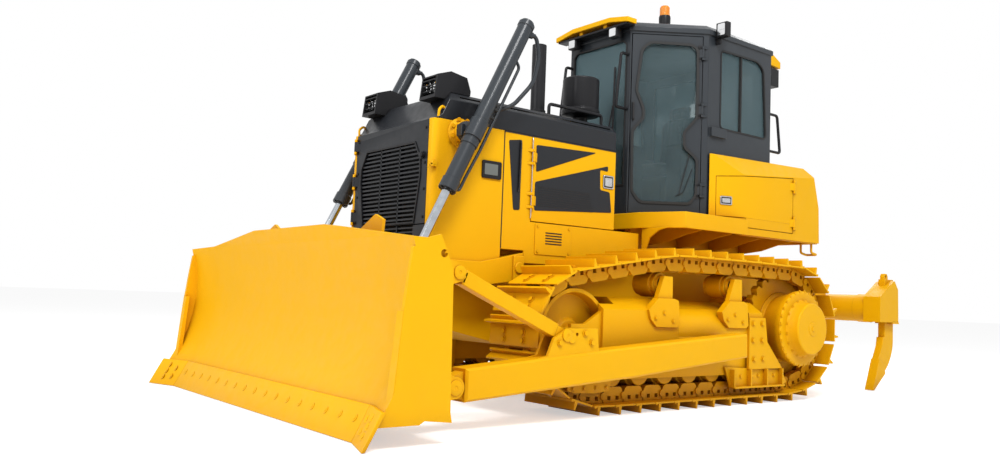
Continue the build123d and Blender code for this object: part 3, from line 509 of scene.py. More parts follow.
def lathe(bm, centre, axis, profile, sides=28):
    centre, axis = Vector(centre) * mm, Vector(axis).normalized()
    u = axis.orthogonal().normalized()
    v = axis.cross(u)
    rings = []
    for along, radius in profile:
        middle = centre + axis * along * mm
        rings.append([bm.verts.new(middle)] if radius < 0.01 else ring(bm, middle, u, v, radius, sides))
    for a, b in zip(rings, rings[1:]):
        if len(a) > 1 and len(b) > 1:
            bridge(bm, a, b)
        elif len(a) > 1 or len(b) > 1:
            for i in range(sides):
                j = (i + 1) % sides
                bm.faces.new((a[0], b[i], b[j]) if len(a) == 1 else (a[i], a[j], b[0]))


def tube(bm, points, radius, bend=0.0, sides=12, steps=5):
    path = [Vector(p) * mm for p in points]
    if bend:
        path = rounded(path, bend * mm, steps, closed=False)
    normal, rings = None, []
    for i, p in enumerate(path):
        tangent = (path[min(i + 1, len(path) - 1)] - path[max(i - 1, 0)]).normalized()
        if normal is None:
            normal = tangent.orthogonal().normalized()
        normal = (normal - tangent * normal.dot(tangent)).normalized()
        side = tangent.cross(normal)
        rings.append(ring(bm, p, normal, side, radius, sides))
    for a, b in zip(rings, rings[1:]):
        bridge(bm, a, b)
    bm.faces.new(rings[0][::-1])
    bm.faces.new(rings[-1])


def keep(name, obj, look, body):
    obj.data.materials.clear()
    obj.data.materials.append(looks[look][0])
    if body:
        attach(obj, body)
    return obj


def looseObject(bm, name):
    bmesh.ops.recalc_face_normals(bm, faces=bm.faces)
    mesh = bpy.data.meshes.new(name)
    bm.to_mesh(mesh)
    bm.free()
    return linked(name, mesh)


def smoothed(mesh):
    mesh.shade_smooth()
    mesh.set_sharp_from_angle(angle=math.radians(35))


def piece(name, bm, look, body, edge=0.0, merge=True):
    if merge:
        bmesh.ops.remove_doubles(bm, verts=bm.verts, dist=0.00001)
    obj = looseObject(bm, name)
    smoothed(obj.data)
    if edge:
        softEdges(obj, edge * mm)
    return keep(name, obj, look, body)


def shape(name, look, body, *parts, edge=0.0):
    # each part is the function that draws it and what that function needs
    bm = bmesh.new()
    for draw, *given in parts:
        draw(bm, *given)
    return piece(name, bm, look, body, edge=edge)


# repeated fittings, by geometry nodes

def newTree(name, sockets):
    tree = bpy.data.node_groups.new(name, "GeometryNodeTree")
    tree.interface.new_socket("places", in_out="INPUT", socket_type="NodeSocketGeometry")
    ids = {}
    for label, kind, value in sockets:
        made = tree.interface.new_socket(label, in_out="INPUT", socket_type="NodeSocket" + kind)
        if value is not None:
            made.default_value = value
        ids[label] = made.identifier
    tree.interface.new_socket("result", in_out="OUTPUT", socket_type="NodeSocketGeometry")
    return tree, ids


def setDown(tree, unit, given, facing=True, along=False):
    nodes, links = tree.nodes, tree.links
    strew = nodes.new("GeometryNodeInstanceOnPoints")
    links.new(given.outputs["places"], strew.inputs["Points"])
    links.new(unit, strew.inputs["Instance"])
    turn = None
    for label, axis in (("facing", "Z"), ("along", "Y")):
        if label == "along" and not along:
            continue
        read = nodes.new("GeometryNodeInputNamedAttribute")
        read.data_type = "FLOAT_VECTOR"
        read.inputs["Name"].default_value = label
        align = nodes.new("FunctionNodeAlignRotationToVector")
        align.axis = axis
        if label == "along":
            align.pivot_axis = "Z"
        if turn is not None:
            links.new(turn, align.inputs["Rotation"])
        links.new(read.outputs["Attribute"], align.inputs["Vector"])
        turn = align.outputs["Rotation"]
    links.new(turn, strew.inputs["Rotation"])
    real = nodes.new("GeometryNodeRealizeInstances")
    finish = nodes.new("GeometryNodeSetMaterial")
    result = nodes.new("NodeGroupOutput")
    links.new(strew.outputs["Instances"], real.inputs[0])
    links.new(real.outputs[0], finish.inputs["Geometry"])
    links.new(given.outputs["finish"], finish.inputs["Material"])
    links.new(finish.outputs[0], result.inputs[0])


def boltTree():
    tree, ids = newTree("boltHeads", (("headRadius", "Float", 0.012), ("headHeight", "Float", 0.010),
        ("headSides", "Int", 6), ("washerRadius", "Float", 0.017), ("washerHeight", "Float", 0.003),
        ("finish", "Material", None)))
    nodes, links = tree.nodes, tree.links
    given = nodes.new("NodeGroupInput")
    joined = nodes.new("GeometryNodeJoinGeometry")
    for radius, height, sides in (("headRadius", "headHeight", "headSides"), ("washerRadius", "washerHeight", None)):
        shape = nodes.new("GeometryNodeMeshCylinder")
        shape.inputs["Vertices"].default_value = 14
        if sides:
            links.new(given.outputs[sides], shape.inputs["Vertices"])
        links.new(given.outputs[radius], shape.inputs["Radius"])
        links.new(given.outputs[height], shape.inputs["Depth"])
        lift = nodes.new("GeometryNodeTransform")
        half = nodes.new("ShaderNodeMath")
        half.operation = "MULTIPLY"
        half.inputs[1].default_value = 0.5
        rise = nodes.new("ShaderNodeCombineXYZ")
        links.new(given.outputs[height], half.inputs[0])
        links.new(half.outputs[0], rise.inputs[2])
        links.new(shape.outputs["Mesh"], lift.inputs["Geometry"])
        links.new(rise.outputs[0], lift.inputs["Translation"])
        links.new(lift.outputs[0], joined.inputs[0])
    setDown(tree, joined.outputs[0], given)
    return tree, ids


def unitTree():
    tree, ids = newTree("strewnUnits", (("unit", "Object", None), ("finish", "Material", None)))
    nodes, links = tree.nodes, tree.links
    given = nodes.new("NodeGroupInput")
    info = nodes.new("GeometryNodeObjectInfo")
    info.inputs["As Instance"].default_value = True
    links.new(given.outputs["unit"], info.inputs["Object"])
    setDown(tree, info.outputs["Geometry"], given, along=True)
    return tree, ids


trees = {"bolts": boltTree(), "units": unitTree()}


def strew(name, kind, places, values, look, body):
    # places: point in metres, the way out, and the way along
    tree, ids = trees[kind]
    points = bpy.data.meshes.new(name + "Places")
    points.from_pydata([p[0] for p in places], [], [])
    for label, column in (("facing", 1), ("along", 2)):
        attribute = points.attributes.new(label, "FLOAT_VECTOR", "POINT")
        for i, p in enumerate(places):
            attribute.data[i].vector = p[column] if len(p) > column else (0, 0, 1)
    holder = linked(name + "Places", points)
    run = holder.modifiers.new("strew", "NODES")
    run.node_group = tree
    for label, value in values.items():
        run[ids[label]] = value
    run[ids["finish"]] = looks[look][0]
    bpy.context.view_layer.update()
    ready = holder.evaluated_get(bpy.context.evaluated_depsgraph_get())
    mesh = bpy.data.meshes.new_from_object(ready)
    mesh.name = name
    holder.modifiers.remove(run)
    bpy.data.objects.remove(holder)
    made = linked(name, mesh)
    smoothed(mesh)
    return keep(name, made, look, body)


def outward(sx, x, points):
    # fittings on the machine's side, by y and z
    return [(at(sx * x, y, z), (sx, 0, 0), (0, 0, 1)) for y, z in points]


boltSizes = {
    "small": dict(headRadius=0.008, headHeight=0.007, headSides=6, washerRadius=0.012, washerHeight=0.002),
    "plain": dict(headRadius=0.012, headHeight=0.010, headSides=6, washerRadius=0.018, washerHeight=0.003),
    "large": dict(headRadius=0.017, headHeight=0.015, headSides=6, washerRadius=0.024, washerHeight=0.004),
    "plow": dict(headRadius=0.011, headHeight=0.0045, headSides=4, washerRadius=0.021, washerHeight=0.003),
}


def bolts(name, size, places, look="yellow", body="machine"):
    return strew(name, "bolts", places, boltSizes[size], look, body)


sides = (("Left", 1, "left"), ("Right", -1, "right"))

# solids of one piece, joined and cut in order

work = {"steps": []}
bodyNames = {
    "door_glass_left": "cab_door_left", "door_glass_right": "cab_door_right", "blade_board": "blade",
    "cutting_edges": "blade", "push_arms": "blade", "blade_braces": "blade", "ripper_frame": "ripper",
    "ripper_shanks": "ripper",
}
movers = ("cab_door_left", "cab_door_right", "engine_door_left", "engine_door_right", "grille_door", "tank_door",
    "lift_barrel_left", "lift_barrel_right", "lift_rod_left", "lift_rod_right", "ripper_barrels", "ripper_rods")
nodeLooks = {"hood": "hood", "grille_door": "hood", "cutting_edges": "yellow", "handrails": "black",
    "precleaner": "black", "exhaust_stack": "black", "cab_lamps": "black"}
edgeWidths = {"cab_glass": 0, "door_glass_left": 0, "door_glass_right": 0, "lift_rod_left": 2, "lift_rod_right": 2,
    "push_arms": 6, "hood": 14, "blade_board": 5, "fuel_tank": 10, "radiator_guard": 4, "grille_door": 2}


def bodyOf(name):
    return bodyNames.get(name, name if name in movers else "machine")


def solid(cut):
    steps = work["steps"]
    if not steps or steps[-1][0] != cut:
        steps.append((cut, bmesh.new()))
    return steps[-1][1]


def cutAway(base, tool):
    saw = base.modifiers.new("saw", "BOOLEAN")
    saw.operation, saw.solver, saw.object, saw.use_self = "DIFFERENCE", "EXACT", tool, True
    bpy.context.view_layer.update()
    mesh = bpy.data.meshes.new_from_object(base.evaluated_get(bpy.context.evaluated_depsgraph_get()))
    base.modifiers.remove(saw)
    base.data = mesh
    bpy.data.objects.remove(tool)


@contextmanager
def building(name):
    work["steps"] = []
    yield
    steps = work["steps"]
    base = looseObject(steps[0][1], name)
    for cut, bm in steps[1:]:
        if cut:
            cutAway(base, looseObject(bm, name))
        else:
            bmesh.ops.recalc_face_normals(bm, faces=bm.faces)
            bm.from_mesh(base.data)
            bm.to_mesh(base.data)
            bm.free()
    bm = bmesh.new()
    bm.from_mesh(base.data)
    bpy.data.objects.remove(base)
    slot = {s["node"]: s["material_slot"] for s in frame["record"]["subparts"]}.get(name)
    look = nodeLooks.get(name) or slotLook[slot]
    words = name.split("_")
    made = piece(words[0] + "".join(w.capitalize() for w in words[1:]) + "Form", bm, look, bodyOf(name),
        edge=edgeWidths.get(name, 4), merge=False)
    if slot:
        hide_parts(name)


def disc(a, b, radius, sides=None):
    sides = sides or (16 if radius < 20 else 28 if radius < 120 else 48)
    return [(a + radius * math.cos(2 * math.pi * k / sides), b + radius * math.sin(2 * math.pi * k / sides))
        for k in range(sides)]


def mirrored(points):
    return points + [(-x, y) for x, y in reversed(points)]


def around(pin, *steps):
    return [(pin[0] + a, pin[1] + b) for a, b in steps]


def onPlane(plane, points, low, high, cut=False):
    prism(solid(cut), plane, points, low, high)


def sidePlate(points, x0, x1, cut=False):
    onPlane(sidePlane(1, 0), points, min(x0, x1), max(x0, x1), cut)


def planPlate(points, z0, z1, cut=False):
    onPlane(topPlane(0), points, z0, z1, cut)


def frontPlate(points, y0, y1, cut=False):
    onPlane(rearPlane(0), points, y0, y1, cut)


def block(x0, x1, y0, y1, z0, z1, cut=False):
    planPlate(rect(min(x0, x1), max(x0, x1), y0, y1), z0, z1, cut)


def crossBar(y, z, radius, x0, x1, cut=False):
    sidePlate(disc(y, z, radius), x0, x1, cut)


def post(x, y, radius, z0, z1, cut=False):
    planPlate(disc(x, y, radius), z0, z1, cut)


def lengthwiseBar(x, z, radius, y0, y1, cut=False):
    frontPlate(disc(x, z, radius), y0, y1, cut)


def slopedPlate(points, z0, z1, y0, rise, cut=False):
    # the top climbs to the rear
    bm = solid(cut)
    lower = [bm.verts.new(at(x, y, z0)) for x, y in points]
    upper = [bm.verts.new(Vector((x, y, z1 + (y - y0) * rise)) * mm) for x, y in points]
    closeSides(bm, lower, upper)


def loftX(first, x0, last, x1, cut=False):
    bm = solid(cut)
    closeSides(bm, [bm.verts.new(at(x0, y, z)) for y, z in first], [bm.verts.new(at(x1, y, z)) for y, z in last])


def loftY(first, y0, last, y1, cut=False):
    bm = solid(cut)
    closeSides(bm, [bm.verts.new(at(x, y0, z)) for x, z in first], [bm.verts.new(at(x, y1, z)) for x, z in last])


def loftZ(first, z0, last, z1, cut=False):
    bm = solid(cut)
    closeSides(bm, [bm.verts.new(at(x, y, z0)) for x, y in first], [bm.verts.new(at(x, y, z1)) for x, y in last])


def alongAxis(start, axis, outline, cut=False):
    lathe(solid(cut), start, axis, outline, 36)


def turned(x, sx, y, z, outline):
    widest = max(p[1] for p in outline)
    lathe(solid(False), (x, y, z), (sx, 0, 0), outline, 64 if widest > 180 else 32)


def spun(x, y, outline):
    lathe(solid(False), (x, y, 0), (0, 0, 1), [(z, radius) for radius, z in outline], 40)


def ringSolid(centre, axis, inner, outer, low, high):
    bm, sides = solid(False), 24
    centre, axis = Vector(centre) * mm, Vector(axis)
    u = axis.orthogonal().normalized()
    v = axis.cross(u)
    loops = []
    for radius, along in ((inner, low), (outer, low), (outer, high), (inner, high)):
        loops.append([bm.verts.new(centre + (axis * along + (u * math.cos(t) + v * math.sin(t)) * radius) * mm)
            for t in (2 * math.pi * k / sides for k in range(sides))])
    for k in range(4):
        bridge(bm, loops[k], loops[(k + 1) % 4])


def sleeve(x, y, inner, outer, z0, z1):
    ringSolid((x, y, 0), (0, 0, 1), inner, outer, z0, z1)


def sleeveX(y, z, inner, outer, x0, x1):
    ringSolid((0, y, z), (1, 0, 0), inner, outer, min(x0, x1), max(x0, x1))


def bentBar(points, radius, bend):
    tube(solid(False), points, radius, bend)


# clearances shared by all pieces
gap = 6.0  # running clearance between moving pieces
seat = 0.3  # clearance between pieces that only touch

hinge = {
    "radius": 11, "pin": 5.0,
    "out": 12.5,  # from a panel's face out to its hinge's axis
    "half": 60, "end": 24,  # half a hinge's height, length of a fixed knuckle
}


def hingePins(axisXy, leafXy, heights):
    # the fixed half of upright hinges
    for z in heights:
        post(*axisXy, hinge["pin"], z - hinge["half"], z + hinge["half"])
        for end in (-1, 1):
            low, high = sorted((z + end * hinge["half"], z + end * (hinge["half"] - hinge["end"])))
            post(*axisXy, hinge["radius"], low, high)
            planPlate(leafXy, low, high)


def hingeKnuckles(axisXy, leafXy, heights):
    # the moving half: one long knuckle between the fixed ones
    for z in heights:
        low, high = z - hinge["half"] + hinge["end"] + seat, z + hinge["half"] - hinge["end"] - seat
        sleeve(*axisXy, hinge["pin"] + seat, hinge["radius"], low, high)
        planPlate(leafXy, low, high)


# track loop
track = {
    "gauge": 1880,  # between the centre lines of the tracks
    "shoeWidth": 510, "plate": 12, "grouser": 55,
    "seat": 45,  # from the pin line out to the shoe's seat
    "railDepth": 60,  # from the pin line in to the roller surface
    "railWidth": 55,
    "railSpread": 100,  # rail's centre, each side of the track's centre line
    "pitch": 203,  # nearest whole number of shoes is used
    "topZ": 1075,  # pin line over the carrier rollers
    "topBend": (-240, 630),  # y where the top run starts to fall
    "topRadius": 1500,
    "frontY": -1120, "rearY": 1060,  # flat part of the bottom run
    "groundRadius": 300,
}
idler = {"y": -1250, "z": 540, "pinRadius": 385}
sprocket = {"y": 1240, "z": 600, "pinRadius": 465, "teeth": 27}  # every second tooth meets a bush
trackX = track["gauge"] / 2
groundPinZ = track["grouser"] + track["plate"] + track["seat"]


def tangentPoints(c0, r0, c1, r1):
    # outer tangent from circle 0 to circle 1, both wrapped clockwise
    dy, dz = c1[0] - c0[0], c1[1] - c0[1]
    reach = math.hypot(dy, dz)
    turn = math.atan2(dz, dy) + math.atan2(math.sqrt(reach**2 - (r0 - r1) ** 2), r0 - r1)
    return [(c[0] + r * math.cos(turn), c[1] + r * math.sin(turn)) for c, r in ((c0, r0), (c1, r1))]


def loopPoints():
    # the pin line as short straight steps, clockwise from the idler's top
    stops = [  # centre y, centre z, radius
        (idler["y"], idler["z"], idler["pinRadius"]),
        (track["topBend"][0], track["topZ"] - track["topRadius"], track["topRadius"]),
        (track["topBend"][1], track["topZ"] - track["topRadius"], track["topRadius"]),
        (sprocket["y"], sprocket["z"], sprocket["pinRadius"]),
        (track["rearY"], groundPinZ + track["groundRadius"], track["groundRadius"]),
        (track["frontY"], groundPinZ + track["groundRadius"], track["groundRadius"]),
    ]
    count = len(stops)
    legs = []
    for i in range(count):
        a, b = stops[i], stops[(i + 1) % count]
        legs.append(tangentPoints(a[:2], a[2], b[:2], b[2]))
    points = []
    for i in range(count):
        centre, arrive, leave = stops[i], legs[i - 1][1], legs[i][0]
        start = math.atan2(arrive[1] - centre[1], arrive[0] - centre[0])
        stop = math.atan2(leave[1] - centre[1], leave[0] - centre[0])
        while stop > start:
            stop -= 2 * math.pi
        steps = max(2, int((start - stop) / math.radians(4)))
        for k in range(steps + 1):
            turn = start + (stop - start) * k / steps
            points.append((centre[0] + centre[2] * math.cos(turn), centre[1] + centre[2] * math.sin(turn)))
    return points


def pinsOnLoop(points, pitch):
    # pins at an even spacing round the closed line
    lengths = [math.hypot(b[0] - a[0], b[1] - a[1]) for a, b in zip(points, points[1:] + points[:1])]
    total = sum(lengths)
    number = round(total / pitch)
    pins, travelled, leg = [], 0.0, 0
    for k in range(number):
        target = total * k / number
        while travelled + lengths[leg] < target:
            travelled += lengths[leg]
            leg += 1
        a, b = points[leg], points[(leg + 1) % len(points)]
        share = (target - travelled) / lengths[leg]
        pins.append((a[0] + (b[0] - a[0]) * share, a[1] + (b[1] - a[1]) * share))
    return pins


trackPins = pinsOnLoop(loopPoints(), track["pitch"])
plateOut = track["seat"] + track["plate"]
shoeProfile = [  # share of the link, height over the pin line
    (0.01, plateOut - 6), (0.06, plateOut), (0.70, plateOut), (0.74, plateOut + track["grouser"]),
    (0.80, plateOut + track["grouser"]), (0.84, plateOut), (0.96, plateOut + 8), (0.99, plateOut - 4),
]


def onShoe(pins, k, share, height, sx, across):
    # a point on a link: share of its length, height over the pin line, and across the track
    a, b = pins[k], pins[(k + 1) % len(pins)]
    length = math.hypot(b[0] - a[0], b[1] - a[1])
    ty, tz = (b[0] - a[0]) / length, (b[1] - a[1]) / length
    point = Vector((sx * (trackX + across), a[0] + ty * share * length - tz * height,
        a[1] + tz * share * length + ty * height)) * mm
    return (point, (0, -tz, ty), (0, ty, tz))


def shoeUnit(half):
    bm = bmesh.new()
    side = sidePlane(1, 0)
    p = track["pitch"]
    outline = [((share - 0.5) * p, height) for share, height in shoeProfile]
    outline += [(0.48 * p, track["seat"]), (-0.48 * p, track["seat"])]
    prism(bm, side, outline, -half, half)
    return looseObject(bm, "shoeUnit")


def linkUnit():
    bm = bmesh.new()
    side = sidePlane(1, 0)
    p = track["pitch"]
    outline = rounded([(-0.5 * p + 3, -20), (-0.36 * p, -track["railDepth"]), (0.36 * p, -track["railDepth"]),
        (0.5 * p - 3, -20), (0.5 * p - 3, track["seat"] + 2), (-0.5 * p + 3, track["seat"] + 2)], 16, 2)
    for face in (-1, 1):
        middle, half = face * track["railSpread"], track["railWidth"] / 2
        prism(bm, side, outline, middle - half, middle + half)
    body = looseObject(bm, "linkUnit")
    saw = bmesh.new()
    for share in (-0.2, 0.2):
        prism(saw, side, rect(share * p - 16, share * p + 16, 2, 30), -200, 200)
    cutAway(body, looseObject(saw, "windows"))
    pins = bmesh.new()
    lathe(pins, (-138, -0.5 * p + 3, 0), (1, 0, 0), [(0, 0), (0, 26), (276, 26), (276, 0)], 14)
    pins.from_mesh(body.data)
    pins.to_mesh(body.data)
    pins.free()
    return body


shoeShape, linkShape = shoeUnit(track["shoeWidth"] / 2), linkUnit()
for hand, sx, side in sides:
    count = len(trackPins)
    spots = [onShoe(trackPins, k, 0.5, 0, sx, 0) for k in range(count)]
    shoes = strew(f"track{hand}Shoes", "units", spots, {"unit": shoeShape}, "yellow", "machine")
    links = strew(f"track{hand}Links", "units", spots, {"unit": linkShape}, "yellow", "machine")
    for made in (shoes, links):
        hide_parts(f"track_{side}")
    fixings = [onShoe(trackPins, k, share, plateOut, sx, across) for k in range(count) for share in (0.2, 0.47)
        for across in (-100, 100)]
    bolts(f"track{hand}Bolts", "large", fixings)
bpy.data.objects.remove(shoeShape)
bpy.data.objects.remove(linkShape)
print("tracks made")


# wheels that carry the track
idlerTread = math.sqrt(idler["pinRadius"]**2 - (track["pitch"] / 2) ** 2) - track["railDepth"] - 1.0
roller = {"count": 7, "radius": 95, "frontY": -875, "rearY": 775}
rollerZ = groundPinZ + track["railDepth"] + roller["radius"] + seat
flangeHalf = track["railSpread"] - track["railWidth"] / 2 - 4.0
frameHalf = 185
frameOuter = trackX + frameHalf
bracketInner = 145  # carrier bracket's inner face, out from the track's centre line

idlerProfile = [  # distance from the track's centre line, radius
    (0, 0), (0, idlerTread + 18), (flangeHalf, idlerTread + 18), (flangeHalf, idlerTread),
    (125, idlerTread), (125, idlerTread - 28), (45, idlerTread - 40), (45, 110), (70, 90), (70, 0),
]
with building("idlers"):
    for sx in (1, -1):
        for face in (-1, 1):
            turned(sx * trackX, face, idler["y"], idler["z"], idlerProfile)

toothTip = sprocket["pinRadius"] - 8.0
toothRoot = sprocket["pinRadius"] - 48


def toothOutline():
    outline = []
    for k in range(sprocket["teeth"]):
        for share, radius in ((-0.42, toothRoot), (-0.22, toothTip), (0.22, toothTip), (0.42, toothRoot)):
            turn = 2 * math.pi * (k + share) / sprocket["teeth"]
            outline.append((sprocket["y"] + radius * math.cos(turn), sprocket["z"] + radius * math.sin(turn)))
    return outline


with building("sprockets"):
    for sx in (1, -1):
        sidePlate(toothOutline(), sx * trackX - 32, sx * trackX + 32)
        crossBar(sprocket["y"], sprocket["z"], 300, sx * trackX - 33, sx * trackX + 33, cut=True)

finalDriveProfile = [  # distance from the track's centre line, radius
    (-330, 0), (-330, 230), (-40, 230), (-40, 299.7), (36, 299.7), (50, 268), (190, 303), (215, 316),
    (252, 316), (262, 300), (262, 240), (285, 222), (352, 214), (360, 206), (360, 0),
]
with building("final_drives"):
    for sx in (1, -1):
        turned(sx * trackX, sx, sprocket["y"], sprocket["z"], finalDriveProfile)

rollerProfile = [
    (-125, 0), (-125, roller["radius"]), (-flangeHalf, roller["radius"]), (-flangeHalf, roller["radius"] + 14),
    (flangeHalf, roller["radius"] + 14), (flangeHalf, roller["radius"]), (125, roller["radius"]), (125, 0),
]
rollerStep = (roller["rearY"] - roller["frontY"]) / (roller["count"] - 1)
rollerPlaces = [roller["frontY"] + k * rollerStep for k in range(roller["count"])]
with building("bottom_rollers"):
    for sx in (1, -1):
        for y in rollerPlaces:
            turned(sx * trackX, sx, y, rollerZ, rollerProfile)

carrier = {"places": ((-378, 12), (456, 0.0)), "radius": 85}  # y, drop below the level run
carrierProfile = [
    (-105, 0), (-105, carrier["radius"]), (-flangeHalf, carrier["radius"]), (-flangeHalf, carrier["radius"] + 12),
    (flangeHalf, carrier["radius"] + 12), (flangeHalf, carrier["radius"]), (105, carrier["radius"]), (105, 66),
    (124, 60), (124, 32), (bracketInner - seat, 32), (bracketInner - seat, 0),
]
carrierZ = track["topZ"] - track["railDepth"] - carrier["radius"] - gap
with building("carrier_rollers"):
    for sx in (1, -1):
        for y, drop in carrier["places"]:
            turned(sx * trackX, sx, y, carrierZ - drop, carrierProfile)

# track frames
frameLowZ = 392
frameFrontY, frameRearY = idler["y"] + 210, sprocket["y"] - 460
springFrontY, springRearY = -255, 600  # round housing of the recoil spring
boxSection = [  # distance from the track's centre line, z; the outer top slopes so that dirt slides off
    (-frameHalf, frameLowZ), (-frameHalf, 770), (-120, 800), (60, 800), (frameHalf, 715),
    (frameHalf, frameLowZ),
]
springSection = [
    (-frameHalf, frameLowZ), (-frameHalf, 770), (-120, 790), (0, 745), (frameHalf - 25, 560),
    (frameHalf, 520), (frameHalf, frameLowZ),
]
carrierPost = [(-120, 640), (-120, 800), (-48, 980), (47, 980), (50, 640)]  # y from the roller, z
carrierFoot = [(-224, 718), (-200, 650), (-139, 597), (85, 595), (112, 616), (97, 790), (50, 805), (-125, 805)]
frontGuard = [(-1350, 420), (-1350, 166), (-1290, 150), (-1100, 143), (-965, 152), (-948, 210), (-948, 420)]
rearPlate = [(580, 270), (580, 680), (790, 680), (822, 484), (1030, 270)]
rearGuard = [(302, 292), (1058, 250), (1125, 150), (1045, 122), (367, 132)]
guardRibs = (370, 585, 800, 1010)
hull = {"half": 340, "topZ": 1215}
arm = {
    "pivot": (170, 470), "frontY": -2370,
    "clear": 33, "width": 148,  # from the shoes' ends, across the arm
    "knuckle": (-2425, 251), "knuckleRadius": 62,
}
armInner = trackX + track["shoeWidth"] / 2 + arm["clear"]
armOuter = armInner + arm["width"]
with building("track_frames"):
    for sx in (1, -1):

        def place(section):
            return [(sx * (trackX + reach), z) for reach, z in section]

        frontPlate(place(boxSection), frameFrontY, springFrontY)
        frontPlate(place(springSection), springFrontY - 1, springRearY + 1)
        lengthwiseBar(sx * (trackX + 15), 565, 172, springFrontY - 1, springRearY + 1)
        frontPlate(place(boxSection), springRearY, frameRearY)
        # room for the idler
        block(sx * trackX - 132, sx * trackX + 132, frameFrontY - 1, idler["y"] + 360, frameLowZ - 1, 801, cut=True)
        for face in (-1, 1):
            x0 = sx * trackX + face * 135
            x1 = sx * trackX + face * 165
            sidePlate([(frameFrontY + 1, 430), (frameFrontY + 1, 700), (idler["y"] + 60, 610), (idler["y"] - 70, 610),
                (idler["y"] - 70, 470), (idler["y"] + 60, 470)], x0, x1)
            crossBar(idler["y"], idler["z"], 60, sx * trackX + face * 70.3, x1)
            block(x0, x1, roller["frontY"] - 90, roller["rearY"] + 90, rollerZ - 40, frameLowZ + 1)
            for y in rollerPlaces:
                crossBar(y, rollerZ, 38, sx * trackX + face * 125.3, x0 + face)
            sidePlate(frontGuard, sx * trackX + face * 165, sx * trackX + face * 184)
        for y, drop in carrier["places"]:
            sidePlate([(y + dy, z - drop) for dy, z in carrierPost], sx * (trackX + bracketInner), sx * frameOuter)
            sidePlate([(y + dy, z) for dy, z in carrierFoot], sx * (frameOuter - 35), sx * (frameOuter + 20))
        # cross shaft to the hull
        crossBar(350, 560, 90, sx * (hull["half"] + seat), sx * (trackX - frameHalf + 1))
        # trunnion of the push arm
        crossBar(*arm["pivot"], 65, sx * (frameOuter - 1), sx * (armInner + armOuter) / 2)
        # guards beside the rear rollers
        sidePlate(rearPlate, sx * (frameOuter - 1), sx * (frameOuter + 24))
        sidePlate(rearGuard, sx * (frameOuter - 10), sx * (frameOuter + 2))
        block(sx * (frameOuter - 10), sx * (frameOuter + 45), 380, 1045, 124, 138)
        for y in guardRibs:
            block(sx * (frameOuter - 1), sx * (frameOuter + 42), y, y + 14, 130, 270)

# hull
guard = {"frontY": -2125, "rearY": -1522, "lowZ": 1000}
ripper = {
    "x": 330, "pivot": (2010, 700), "beam": (2960, 797), "beamRadius": 133,
    "base": (1965, 1180), "eye": (2780, 1000),
}
with building("main_frame"):
    sidePlate([(guard["rearY"] - 420, 560), (guard["rearY"] - 420, guard["lowZ"] - seat),
        (guard["rearY"] + 8, guard["lowZ"] - seat), (guard["rearY"] + 8, hull["topZ"]), (1700, hull["topZ"]),
        (1860, hull["topZ"]), (1860, 560), (1600, 420), (-1300, 420)], -hull["half"], hull["half"])
    # gearcase shoulders that carry the final drives
    for sx in (1, -1):
        crossBar(sprocket["y"], sprocket["z"], 260, sx * (hull["half"] - 1), sx * (trackX - 330 - seat))
        for x in (sx * (ripper["x"] - 75), sx * (ripper["x"] + 25)):
            sidePlate([(1859, 560), (1859, 860), *around(ripper["pivot"], (0, 90), (80, 40), (80, -60), (0, -100))],
                x, x + sx * 50)
        crossBar(*ripper["pivot"], 40, sx * (ripper["x"] - 75), sx * (ripper["x"] + 75))
        for x in (sx * (ripper["x"] - 81), sx * (ripper["x"] + 56)):
            sidePlate([(1859, 1060), (1859, hull["topZ"]), *around(ripper["base"], (45, 45), (45, -45))], x,
                x + sx * 25)
        crossBar(*ripper["base"], 25, sx * (ripper["x"] - 81), sx * (ripper["x"] + 81))

engineDoor = {"frontY": -1250, "rearY": -395, "lowZ": 1330, "skin": 30}
with building("engine_block"):
    block(-330, 330, guard["rearY"] + 120, engineDoor["rearY"] - 60, 1255, 1900)
    block(-260, 260, guard["rearY"] + 300, engineDoor["rearY"] - 200, hull["topZ"] + seat, 1256)

# radiator guard, hood and side panels
noseY = guard["frontY"]
hood = {"half": 560, "bottomZ": 1960, "topZ": 2165}
grilleAxis = (-(hood["half"] - 63), noseY - hinge["out"])
grilleHinges = (1330, 1600, 1870)
noseSlope = [(-2060, 1994), (-2004, 2110), (-1962, hood["topZ"])]  # y, z up the nose's front
beamHalf = (462, 582)


def frontCorners(radius):
    # the nose's two rounded front corners, from the machine's left to its right
    left = rounded([(hood["half"], guard["rearY"]), (hood["half"], noseY), (0, noseY)], radius, 6, False)[1:-1]
    return [tuple(p) for p in left] + [(-p[0], p[1]) for p in reversed(left)]


lift = {
    "x": 742, "pivot": (-1908, 1880), "eye": (-2567, 550), "rodRadius": 30,
    "up": 928, "down": 478,  # pivot to the barrel's top and bottom caps
    "eyeDrift": 30,  # room round the blade's pin inside the rod's eye
}
with building("radiator_guard"):
    planPlate([(-hood["half"], guard["rearY"]), (hood["half"], guard["rearY"])] + frontCorners(55), guard["lowZ"],
        hood["bottomZ"])
    # pocket in front of the radiator's core
    block(-hood["half"] + 60, hood["half"] - 60, noseY - 1, noseY + 230, 1040, hood["bottomZ"] + 1, cut=True)
    for sx in (1, -1):
        # cone and boss that carry the lift cylinder
        turned(sx * hood["half"], sx, *lift["pivot"], [(0, 0), (0, 105), (30, 76), (60, 76), (60, 0)])
        # side beam of the main frame under the nose
        sidePlate([(-1950, 1010), (-1700, 1010), (-1522, 1048), (-1330, 1092), (-1326, 893), (-1668, 848),
            (-1950, 880)], sx * beamHalf[0], sx * beamHalf[1])
        block(sx * (beamHalf[1] - 1), sx * (beamHalf[1] + 14), -1422, -1328, 896, 1068)
        crossBar(-1374, 982, 40, sx * beamHalf[1], sx * (beamHalf[1] + 26))
    hingePins(grilleAxis, [(-(hood["half"] - 61), noseY + 4), (grilleAxis[0], noseY - hinge["out"] - 8),
        (-(hood["half"] - 20), noseY + 4)], grilleHinges)

